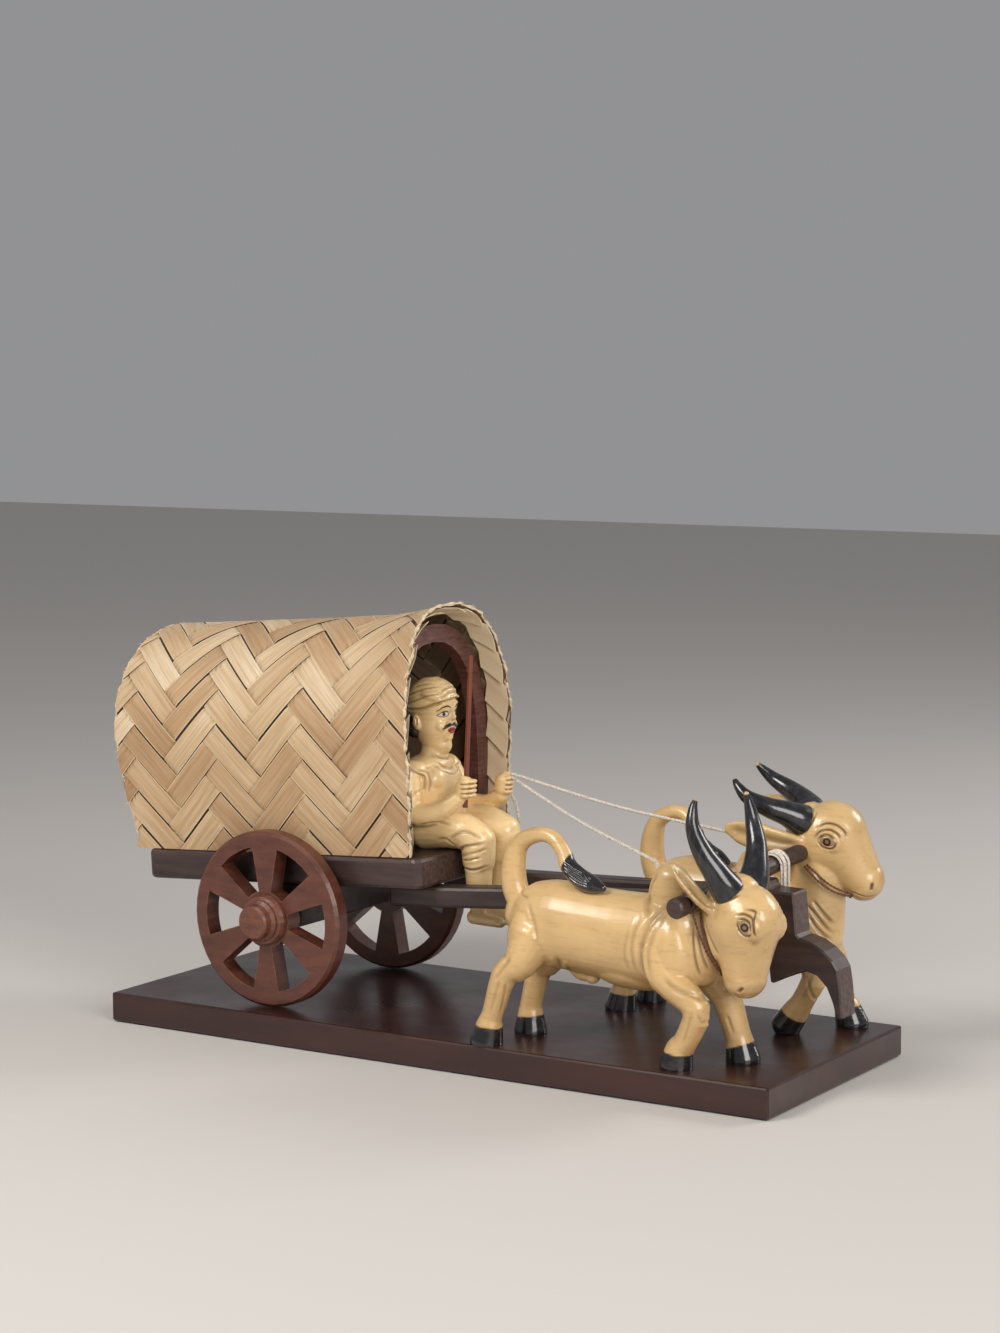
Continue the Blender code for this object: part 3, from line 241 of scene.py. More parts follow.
def horn_gloss():
    """Black horn lacquer, worn to cream at the tips."""
    made, tree, shader = new_material("Horn gloss")
    streak = stretched(tree, (300, 300, 60), 4.0)
    colour = ramp(tree, streak, [(0.45, (0.006, 0.006, 0.008)), (0.75, (0.035, 0.034, 0.040))])
    coated(tree, shader, mix(tree, kept(tree, "tip"), colour, (0.55, 0.38, 0.20)), 0.24, 0.5)
    bumped(tree, shader, streak, 0.3, 0.0004)
    return made


def leaf_material():
    """Split palm leaf: fibres along each strip, pale cut edges, a tint of its own per strip."""
    made, tree, shader = new_material("Palm leaf strips")
    fibre = stretched(tree, (3.2, 0.035, 1), 6.0, 0.75, "UV")
    band = stretched(tree, (0.45, 0.02, 1), 3.0, 0.5, "UV")
    colour = ramp(tree, kept(tree, "tint"), [(0.0, (0.40, 0.245, 0.130)), (0.35, (0.52, 0.350, 0.200)),
                                             (0.7, (0.62, 0.460, 0.285)), (1.0, (0.74, 0.60, 0.42))])
    lines = ramp(tree, fibre, [(0.3, 0.48), (0.46, 0.90), (0.68, 1.14)])
    colour = mix(tree, 0.85, colour, lines, "MULTIPLY")
    faded = ramp(tree, band, [(0.35, (0.80, 0.70, 0.58)), (0.6, (1.0, 1.0, 1.0))])
    colour = mix(tree, 0.8, colour, faded, "MULTIPLY")
    colour = mix(tree, kept(tree, "edge"), colour, (0.80, 0.66, 0.45))
    # Painted shade where a strip dives under the strips that cross it
    colour = mix(tree, kept(tree, "under"), colour, (0.07, 0.032, 0.014))
    coated(tree, shader, colour, 0.52)
    set_inputs(tree, shader, {"Specular IOR Level": 0.35})
    bumped(tree, shader, fibre, 0.7, 0.0005)
    return made


def cotton_material(name, pale, dark):
    made, tree, shader = new_material(name)
    fuzz = stretched(tree, (900, 900, 900), 3.0)
    coated(tree, shader, ramp(tree, fuzz, [(0.3, dark), (0.6, pale)]), 0.9)
    bumped(tree, shader, fuzz, 0.5, 0.0002)
    return made


BOARD = stained_wood("Board lacquer", (0.022, 0.0062, 0.0050), (0.050, 0.0140, 0.0105), 0.32, (7, 90, 60),
                     0.25, 0.12, (0.085, 0.032, 0.024))
DARK = stained_wood("Dark timber", (0.015, 0.0090, 0.0084), (0.066, 0.037, 0.032), 0.44, (14, 160, 190),
                    0.1, 0.5, (0.150, 0.098, 0.078))
ENDED = stained_wood("Dark timber with bare ends", (0.017, 0.0090, 0.0084), (0.064, 0.034, 0.030), 0.42,
                     (14, 160, 190), 0.2, 0.5, (0.210, 0.130, 0.100), (0.115, 0.062, 0.050))
RED = stained_wood("Red timber", (0.062, 0.0165, 0.0095), (0.150, 0.0450, 0.0250), 0.36, (60, 60, 200),
                   0.25, 0.3, (0.290, 0.125, 0.075))
TURNED = stained_wood("Turned hub timber", (0.080, 0.022, 0.0130), (0.220, 0.080, 0.045), 0.36,
                      (90, 60, 420), 0.2, 0.35, (0.340, 0.170, 0.105))
ARCH = stained_wood("Arch timber", (0.040, 0.013, 0.010), (0.200, 0.074, 0.054), 0.5, (90, 90, 620),
                    0.1, 0.6, (0.200, 0.095, 0.075))
STICK = stained_wood("Goad stain", (0.150, 0.030, 0.016), (0.235, 0.055, 0.028), 0.36, (300, 300, 30),
                     0.3, 0.1)
HONEY = figure_lacquer("Honey lacquer", (0.67, 0.445, 0.195), (0.38, 0.190, 0.060))
PALE = figure_lacquer("Pale yellow lacquer", (0.92, 0.66, 0.33), (0.56, 0.30, 0.100))
BLACK = plain("Black gloss", (0.007, 0.007, 0.009), 0.2, 0.6)
HORN_GLOSS = horn_gloss()
EYE_BROWN = plain("Eye brown", (0.20, 0.105, 0.045), 0.2, 0.6)
INK = plain("Dark line", (0.020, 0.010, 0.006), 0.5)
EYE_BRIGHT = plain("Bright eye white", (0.72, 0.68, 0.62), 0.3, 0.4)
EYE_WHITE = plain("Eye white", (0.27, 0.185, 0.095), 0.25, 0.5)
LIP = plain("Lip red", (0.36, 0.030, 0.020), 0.3, 0.3)
LEAF = leaf_material()
COTTON = cotton_material("White cotton", (0.74, 0.68, 0.60), (0.42, 0.36, 0.30))
TWINE = cotton_material("Brown twine", (0.20, 0.085, 0.045), (0.085, 0.034, 0.018))
# Painted shade: a dark sheet inside the weave that stands for the shade between the strips
PAINTED_SHADE_SHEET = plain("Painted shade sheet", (0.055, 0.032, 0.016), 0.9)


# Meshes

ROPE_PITCH = 0.0064
ROPE_SPACING = 0.0005


def placed(name, mesh, finish):
    mesh.materials.append(finish)
    made = bpy.data.objects.new(name, mesh)
    bpy.context.collection.objects.link(made)
    return made


def dress(piece, stood_for):
    """Let a piece on the cart's body stand for one of its nodes."""
    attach(piece, "cart")
    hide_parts(stood_for)


def keep_values(mesh, values):
    """Keep values on a mesh's points for its material."""
    for key, value in values.items():
        layer = mesh.attributes.new(key, "FLOAT", "POINT")
        layer.data.foreach_set("value", np.asarray(value, dtype=np.float32))


def axes(x, y, z, place):
    """A frame from its three directions and its place."""
    return Matrix.Translation(place) @ Matrix((x, y, z)).transposed().to_4x4()


def to_object(name, verts, faces, finish, values=None, uv=None, smooth=True, angle=None):
    mesh = bpy.data.meshes.new(name)
    mesh.from_pydata([tuple(v) for v in verts], [], faces)
    mesh.update()
    keep_values(mesh, values or {})
    if uv is not None:
        layer = mesh.uv_layers.new(name="UVMap")
        corner = np.empty(len(mesh.loops), dtype=np.int32)
        mesh.loops.foreach_get("vertex_index", corner)
        layer.data.foreach_set("uv", np.asarray(uv, dtype=np.float32)[corner].ravel())
    if smooth:
        mesh.shade_smooth()
    if angle:
        mesh.set_sharp_from_angle(angle=math.radians(angle))
    return placed(name, mesh, finish)


def from_bmesh(name, bm, finish):
    mesh = bpy.data.meshes.new(name)
    bm.to_mesh(mesh)
    bm.free()
    mesh.shade_smooth()
    return placed(name, mesh, finish)


def spline(rows, steps):
    """Catmull-Rom between all but the first and the last of the rows."""
    out = []
    for k in range(1, len(rows) - 2):
        p0, p1, p2, p3 = rows[k - 1:k + 3]
        for i in range(steps):
            t = i / steps
            out.append(0.5 * (2 * p1 + (p2 - p0) * t + (2 * p0 - 5 * p1 + 4 * p2 - p3) * t ** 2
                              + (3 * p1 - p0 - 3 * p2 + p3) * t ** 3))
    out.append(rows[-2])
    return out


def smooth_path(points, steps):
    """A curve through a route's own points."""
    route = [Vector(p) for p in points]
    return spline([2 * route[0] - route[1]] + route + [2 * route[-1] - route[-2]], steps)


def smooth_rows(rows, steps):
    """A curve through rows of numbers of any length."""
    table = np.array(rows, dtype=float)
    return spline(np.vstack([2 * table[0] - table[1], table, 2 * table[-1] - table[-2]]), steps)


def run_along(places):
    """The length of a line up to each of its points."""
    return np.concatenate([[0], np.cumsum(np.linalg.norm(np.diff(places, axis=0), axis=1))])


def even_path(points, spacing):
    """The same path with points at an even spacing."""
    places = np.array([tuple(p) for p in points])
    run = run_along(places)
    count = max(2, int(round(run[-1] / spacing)) + 1)
    at = np.linspace(0, run[-1], count)
    return [Vector([np.interp(a, run, places[:, i]) for i in range(3)]) for a in at]


def path_frames(points):
    """A side and an up direction along a path, without sudden turns."""
    frames = []
    side = None
    last = len(points) - 1
    for k in range(len(points)):
        tangent = (points[min(k + 1, last)] - points[max(k - 1, 0)]).normalized()
        if side is None:
            side = tangent.orthogonal()
        side = (side - tangent * side.dot(tangent)).normalized()
        frames.append((tangent, side, tangent.cross(side)))
    return frames


def tube_faces(base, count, sides):
    """Faces between rings of points, and one over each end."""
    faces = []
    for k in range(count - 1):
        a, b = base + k * sides, base + (k + 1) * sides
        for i in range(sides):
            j = (i + 1) % sides
            faces.append((a + i, a + j, b + j, b + i))
    last = base + (count - 1) * sides
    return faces + [tuple(range(base, base + sides))[::-1], tuple(range(last, last + sides))]


def tube_mesh(verts, faces, points, radii, sides=8):
    """Add a round tube along points to the lists."""
    faces += tube_faces(len(verts), len(points), sides)
    for place, radius, (_, side, up) in zip(points, radii, path_frames(points)):
        for i in range(sides):
            turn = 2 * math.pi * i / sides
            verts.append(place + side * (radius * math.cos(turn)) + up * (radius * math.sin(turn)))


def rope(name, points, radius, finish):
    """Twisted cord: three strands wound round the path."""
    route = even_path(points, ROPE_SPACING)
    frames = path_frames(route)
    verts, faces = [], []
    strand = radius * 0.5
    for s in range(3):
        line = []
        for k, (place, (_, side, up)) in enumerate(zip(route, frames)):
            turn = 2 * math.pi * (s / 3 + k * ROPE_SPACING / ROPE_PITCH)
            line.append(place + (side * math.cos(turn) + up * math.sin(turn)) * (radius - strand))
        tube_mesh(verts, faces, line, [strand] * len(line), 6)
    return to_object(name, verts, faces, finish)


# Hood

HOOD_FOOT = 0.0336
HOOD_FOOT_HALF_WIDTH = 0.0468
HOOD_SPRING = 0.092
LEG_SHARE = 0.24
# u, half width, height of the crown over the springing, squareness of the crown
HOOD_SECTIONS = np.array([
    (-0.1300, 0.0490, 0.0640, 2.05),
    (-0.0740, 0.0495, 0.0645, 2.10),
    (-0.0340, 0.0500, 0.0652, 2.15),
    (0.0100, 0.0505, 0.0660, 2.20),
    (0.0500, 0.0508, 0.0672, 2.25),
    (0.0720, 0.0512, 0.0694, 2.35),
    (0.0900, 0.0525, 0.0738, 2.45),
])
HOOD_FRONT = 0.0848
HOOD_FRONT_BELLY = 0.0048
HOOD_REAR = -0.0945
HOOD_REAR_BELLY = 0.0135
STRIP = 0.0136
CELL = STRIP / math.sqrt(2)
WEAVE_U = 0.0020
WEAVE_T = 0.0040
LEAF_LIFT = 0.00052
LEAF_HALF_THICKNESS = 0.00016
WOVEN_DEPTH = 0.00115


def hood_point(u, turn):
    """A point of the hood's outside: turn runs from 0 at the near foot to 1 at the far foot."""
    half, crown, square = [np.interp(u, HOOD_SECTIONS[:, 0], HOOD_SECTIONS[:, i]) for i in (1, 2, 3)]
    if LEG_SHARE <= turn <= 1 - LEG_SHARE:
        angle = math.pi * (turn - LEG_SHARE) / (1 - 2 * LEG_SHARE)
        c, s = math.cos(angle), math.sin(angle)
        power = 2 / square
        return -math.copysign(abs(c) ** power, c) * half, HOOD_SPRING + abs(s) ** power * crown
    side = -1 if turn < 0.5 else 1
    share = min(turn, 1 - turn) / LEG_SHARE
    y = HOOD_FOOT_HALF_WIDTH + (half - HOOD_FOOT_HALF_WIDTH) * math.sin(share * math.pi / 2)
    return side * y, HOOD_FOOT + (HOOD_SPRING - HOOD_FOOT) * share


GRID_U = np.linspace(-0.116, 0.096, 33)
GRID_Q = np.linspace(0, 1, 241)
GRID = np.zeros((len(GRID_U), len(GRID_Q), 3))
GIRTH = 0
for row, u_row in enumerate(GRID_U):
    ring = np.array([hood_point(u_row, turn) for turn in np.linspace(0, 1, 500)])
    run = run_along(ring)
    GRID[row, :, 0] = u_row
    for axis in (0, 1):
        GRID[row, :, axis + 1] = np.interp(GRID_Q * run[-1], run, ring[:, axis])
    GIRTH += run[-1] / len(GRID_U)
CART_TURN = np.array(CART.to_3x3())
CART_PLACE = np.array(CART.translation)


def grid_at(u, t):
    i = np.clip((u - GRID_U[0]) / (GRID_U[1] - GRID_U[0]), 0, len(GRID_U) - 1.001)
    j = np.clip(t / GIRTH * (len(GRID_Q) - 1), 0, len(GRID_Q) - 1.001)
    i0, j0 = i.astype(int), j.astype(int)
    fi, fj = (i - i0)[..., None], (j - j0)[..., None]
    return ((GRID[i0, j0] * (1 - fi) + GRID[i0 + 1, j0] * fi) * (1 - fj)
            + (GRID[i0, j0 + 1] * (1 - fi) + GRID[i0 + 1, j0 + 1] * fi) * fj)


def on_hood(u, t, height):
    """Points at a height over the middle of the woven hood, in the row frame."""
    u, t, height = np.broadcast_arrays(*(np.asarray(x, dtype=float) for x in (u, t, height)))
    step = 0.0012
    along = grid_at(u + step, t) - grid_at(u - step, t)
    around = grid_at(u, t + step) - grid_at(u, t - step)
    normal = np.cross(around, along)
    normal /= np.linalg.norm(normal, axis=-1, keepdims=True) + 1e-12
    middle = grid_at(u, t)
    out = np.sign((normal[..., 1:] * (middle[..., 1:] - np.array([0, 0.09]))).sum(-1))[..., None]
    place = middle + normal * out * (height - WOVEN_DEPTH)[..., None]
    return place @ CART_TURN.T + CART_PLACE


TOOTH_REACH = rng.uniform(0.0004, 0.0030, 40)


def hood_belly(t):
    """How far an edge of the hood bulges: nothing at its feet, one at the crown."""
    return math.sin(math.pi * min(1, min(t, GIRTH - t) / GIRTH / 0.5))


def hood_front(t):
    """The front edge: folded strips' teeth of uneven reach, each rising slowly and falling fast."""
    place = max(0.0, t / (2 * CELL) + 0.3)
    part = place % 1
    tooth = min(part / 0.72, (1 - part) / 0.28)
    rough = 0.0003 * math.sin(t * 1500)
    return HOOD_FRONT + HOOD_FRONT_BELLY * hood_belly(t) + TOOTH_REACH[int(place)] * tooth + rough


def hood_rear(t):
    return HOOD_REAR - HOOD_REAR_BELLY * hood_belly(t) - 0.0010 * abs(math.sin(math.pi * t / (2 * CELL)))


def slash_on_top(step):
    """The rising strip passes over three falling ones and then under three."""
    return (step + 1) % 6 < 3


# Across a strip, from one edge to the other over its top and back under it
TOP_POINTS = (-1.0, -0.91, -0.55, 0.0, 0.55, 0.91, 1.0)
BACK_POINTS = (0.97, 0.0, -0.97)


def strip_span(rising, at):
    """How far a line of the weave runs inside the hood's edges, in cells."""
    low_t, high_t = -WEAVE_T / CELL - at, (GIRTH - WEAVE_T) / CELL - at
    rear, front = hood_rear(GIRTH / 2), hood_front(GIRTH / 2)
    span = [0, 0]
    for _ in range(4):
        if rising:
            span = [max(low_t, (rear - WEAVE_U) / CELL + at), min(high_t, (front - WEAVE_U) / CELL + at)]
            rear_end, front_end = span
        else:
            span = [max(low_t, at - (front - WEAVE_U) / CELL), min(high_t, at - (rear - WEAVE_U) / CELL)]
            front_end, rear_end = span
        rear = hood_rear((at + rear_end) * CELL + WEAVE_T)
        front = hood_front((at + front_end) * CELL + WEAVE_T)
    return span


class Leaves:
    """Gathers leaf strips into one mesh with their tint, edge and shade."""

    def __init__(self):
        self.verts, self.faces, self.uv = [], [], []
        self.values = {"tint": [], "edge": [], "under": []}

    def add(self, places, uv, tint, edge, under):
        """Add one strip given as sections of closed loops of points."""
        count, loop = places.shape[:2]
        self.faces += tube_faces(sum(len(v) for v in self.verts), count, loop)
        self.verts.append(places.reshape(-1, 3))
        self.uv.append(uv.reshape(-1, 2))
        for store, value in zip(self.values.values(), (tint, edge, under)):
            store.append(np.broadcast_to(value, (count, loop)).ravel())

    def build(self, name):
        join = np.concatenate
        values = {key: join(store) for key, store in self.values.items()}
        return to_object(name, join(self.verts), self.faces, LEAF, values, join(self.uv), angle=35)


def weave(leaves):
    across = np.array(TOP_POINTS + BACK_POINTS)
    is_top = np.array([True] * len(TOP_POINTS) + [False] * len(BACK_POINTS))
    reach = int(0.36 / CELL)
    for rising in (True, False):
        for k in range(-reach, reach):
            if strip_span(rising, k)[1] - strip_span(rising, k)[0] < 0.25:
                continue
            half = 0.5 * rng.uniform(0.890, 0.975)
            shift = rng.uniform(-0.03, 0.03)
            roll = rng.uniform(-0.00014, 0.00014)
            tint = rng.uniform(0.30, 0.95)
            lines = k + shift + across * half
            spans = np.array([strip_span(rising, at) for at in lines])
            if (spans[:, 1] - spans[:, 0]).min() < 0.05:
                spans[:, 1] = np.maximum(spans[:, 1], spans[:, 0] + 0.05)
            count = max(3, int((spans[:, 1] - spans[:, 0]).max() * CELL * math.sqrt(2) / 2 / 0.00085))
            share = np.linspace(0, 1, count)[:, None]
            along = spans[:, 0] + (spans[:, 1] - spans[:, 0]) * share
            a, b = (lines + 0 * along, along) if rising else (along, lines + 0 * along)
            low = np.floor(along)
            part = np.clip((along - low - 0.5) / 0.34 + 0.5, 0, 1)
            part = part * part * (3 - 2 * part)
            levels = []
            for cell in (low, low + 1):
                step = cell - k if rising else k - cell
                top = slash_on_top(step)
                levels.append(np.where(top == rising, 1.0, -1.0))
            level = levels[0] * (1 - part) + levels[1] * part
            bow = 0.00010 * (1 - across ** 2) + roll * across
            thick = np.where(is_top, LEAF_HALF_THICKNESS, -LEAF_HALF_THICKNESS)
            height = LEAF_LIFT * level + bow + thick
            u = (b - a) * CELL + WEAVE_U
            t = (a + b) * CELL + WEAVE_T
            places = on_hood(u, t, height)
            uv = np.stack([across * half * STRIP * 1000 + 40 * k + 0 * along,
                           along * STRIP * 1000 + 100 * rng.uniform()], axis=-1)
            drift = tint + 0.12 * np.sin(along * 0.8 + k)
            low_down = np.clip(1 - np.minimum(t, GIRTH - t) / 0.10, 0, 1) * 0.30
            left, right = rng.uniform(0.3, 1.0), rng.uniform(0.3, 1.0)
            edge = np.where(across > 0.96, left, np.where(across < -0.96, right, 0.0)) * is_top
            # Painted shade: darker where the strip dives under the strips that cross it
            under = np.clip(0.15 - level, 0, 1) * 0.75 + 0 * across
            leaves.add(places, uv, np.clip(drift - low_down, 0, 1), edge, under)


def hood_rims(leaves):
    """The strips' ends folded over the front and rear edges, with a pale torn lip."""
    for edge_at, inward, lip in ((hood_front, -1, 0.0011), (hood_rear, 1, 0.0008)):
        t = np.arange(0.0, GIRTH, 0.0011)
        u = np.array([edge_at(x) for x in t]) + rng.uniform(-0.00025, 0.00025, len(t))
        loop = []
        radius = lip * (0.75 + 0.25 * np.sin(t * 700) + rng.uniform(-0.15, 0.15, len(t)))
        for i in range(6):
            turn = 2 * math.pi * i / 6
            loop.append(on_hood(u + radius * 0.7 * math.cos(turn), t, radius * math.sin(turn)))
        places = np.stack(loop, axis=1)
        uv = np.stack([np.broadcast_to(np.arange(6) * 0.8, (len(t), 6)),
                       np.broadcast_to((t * 1000)[:, None], (len(t), 6))], axis=-1)
        leaves.add(places, uv, 0.95, 0.5, 0.0)
        for k in range(int(GIRTH / (2 * CELL)) + 1):
            start_t = (2 * k + 0.6) * CELL
            lines = np.array([-0.97, -0.5, 0, 0.5, 0.97, 0.97, 0, -0.97]) * CELL * 0.96
            side = np.array([1, 1, 1, 1, 1, -1, -1, -1])
            share = np.linspace(0, 1, 9)[:, None]
            t0 = start_t + lines
            t_now = t0 - share * 0.0125
            keep = np.clip(t_now, 0.0003, GIRTH - 0.0003)
            u_now = np.array([edge_at(min(max(x, 0), GIRTH)) for x in t0]) + inward * share * 0.0125
            fall = -0.0013 - 0.0013 * (lines / CELL + 1) * (1 - share * 0.4) - 0.0002 * (k % 2)
            places = on_hood(u_now, keep, fall + side * 0.00014)
            uv = np.stack([lines * 1000 + 30 * k + 0 * share, share * 14 + 0 * lines], axis=-1)
            # Painted light: the whole tab is paler; its pale cut edges are the leaf's own colour
            edge = np.where(np.abs(lines) > 0.85 * CELL, 1.0, 0.4)
            leaves.add(places, uv, rng.uniform(0.55, 1.0), edge, 0.0)


def torn_fibres(leaves):
    """Loose fibres along the hood's front and rear edges."""
    for k in range(150):
        t = rng.uniform(0.002, GIRTH - 0.002)
        front = k % 4 != 0
        u = hood_front(t) if front else hood_rear(t)
        reach = rng.uniform(0.0008, 0.0030) * (1 if front else -1)
        slant = rng.uniform(-1.2, 1.2)
        lift = rng.uniform(-0.0002, 0.0010)
        wide = rng.uniform(0.00010, 0.00028)
        share = np.linspace(0, 1, 4)[:, None]
        lines = np.array([-1, 1, 1, -1]) * wide * (1 - 0.8 * share)
        side = np.array([1, 1, -1, -1]) * 0.00006
        around = np.clip(t + slant * reach * share + lines, 0.0002, GIRTH)
        places = on_hood(u - reach * 0.6 + reach * 1.4 * share, around, 0.0006 + lift * share ** 2 + side)
        uv = np.stack([lines * 1000 + 3 * k, share * 2 + 0 * lines], axis=-1)
        leaves.add(places, uv, rng.uniform(0.6, 1.0), 0.5, 0.0)


def hood_shade_sheet():
    """Painted shade: a dark sheet between the two layers of strips, which closes the gaps between them."""
    rows, columns = 60, 120
    verts, faces = [], []
    for i in range(rows + 1):
        for j in range(columns + 1):
            t = 0.0012 + (GIRTH - 0.0024) * j / columns
            rear, front = hood_rear(t) + 0.0030, hood_front(t) - 0.0045
            verts.append(on_hood(rear + (front - rear) * i / rows, t, 0.0))
    for i in range(rows):
        for j in range(columns):
            a = i * (columns + 1) + j
            faces.append((a, a + 1, a + columns + 2, a + columns + 1))
    return to_object("hood_shade_sheet", verts, faces, PAINTED_SHADE_SHEET)


leaves = Leaves()
weave(leaves)
hood_rims(leaves)
torn_fibres(leaves)
dress(hood_shade_sheet(), "hood")
dress(leaves.build("woven_hood"), "hood")


# Carved figures

BULLOCK_VOXEL = 0.00082
TAIL_VOXEL = 0.00076
DRIVER_VOXEL = 0.00065
# Share of the size and of the reach of each ring that rounds a loft's end
ROUND_END = ((0.97, 0.22), (0.85, 0.5), (0.6, 0.77), (0.3, 0.95))


def loft(bm, stations, up=(0, 0, 1), sides=24):
    """Closed loft of ellipses with round ends. A station is (place, half width, half height along up)."""
    places = [Vector(place) for place, _, _ in stations]
    up = Vector(up)
    last = len(stations) - 1
    rings = []

    def ring(centre, across, height, half_width, half_height):
        turns = [2 * math.pi * i / sides for i in range(sides)]
        return [bm.verts.new(centre + across * (half_width * math.cos(turn))
                             + height * (half_height * math.sin(turn))) for turn in turns]

    for k, (_, half_width, half_height) in enumerate(stations):
        tangent = (places[min(k + 1, last)] - places[max(k - 1, 0)]).normalized()
        across = up.cross(tangent).normalized()
        height = tangent.cross(across).normalized()
        reach = min(half_width, half_height) * (0.85 if k else -0.85)
        ends = [ring(places[k] + tangent * (reach * out), across, height, half_width * share,
                     half_height * share) for share, out in (ROUND_END if k in (0, last) else ())]
        rings += ends[::-1] if k == 0 else []
        rings.append(ring(places[k], across, height, half_width, half_height))
        rings += ends if k == last else []
    for first, second in zip(rings, rings[1:]):
        for i in range(sides):
            j = (i + 1) % sides
            bm.faces.new((first[i], first[j], second[j], second[i]))
    bm.faces.new(rings[0][::-1])
    bm.faces.new(rings[-1])


def limb(bm, frame, rows, up=(1, 0, 0)):
    """A limb from rows of x, y, z and radius."""
    loft(bm, [(frame @ Vector(row[:3]), row[3], row[3]) for row in smooth_rows(rows, 3)],
         up=frame.to_3x3() @ Vector(up), sides=20)


def lump(bm, frame, x, y, z, a, b, c, tilt=0):
    """An ellipsoid of half sizes, tilted about the frame's y."""
    place = frame @ Matrix.Translation((x, y, z)) @ Matrix.Rotation(math.radians(tilt), 4, "Y")
    bmesh.ops.create_icosphere(bm, subdivisions=4, radius=1, matrix=place @ Matrix.Diagonal((a, b, c, 1)))


def inside_box(co, places, margin):
    """Which points lie in a box round a line, with a margin."""
    return np.nonzero(((co > places.min(0) - margin) & (co < places.max(0) + margin)).all(1))[0]


def vectors(rows, key):
    """Read vectors of a mesh into an array."""
    values = np.empty(len(rows) * 3, dtype=np.float32)
    rows.foreach_get(key, values)
    return values.reshape(-1, 3).astype(float)


def segment_distance(co, places):
    """Distance to a line of points, and the share of its length at the nearest place."""
    best = np.full(len(co), 1e9)
    share = np.zeros(len(co))
    count = len(places) - 1
    for k in range(count):
        a, along = places[k], places[k + 1] - places[k]
        t = np.clip(((co - a) @ along) / max(1e-12, along @ along), 0, 1)
        distance = np.linalg.norm(co - a - t[:, None] * along, axis=1)
        closer = distance < best
        best[closer] = distance[closer]
        share[closer] = (k + t[closer]) / count
    return best, share


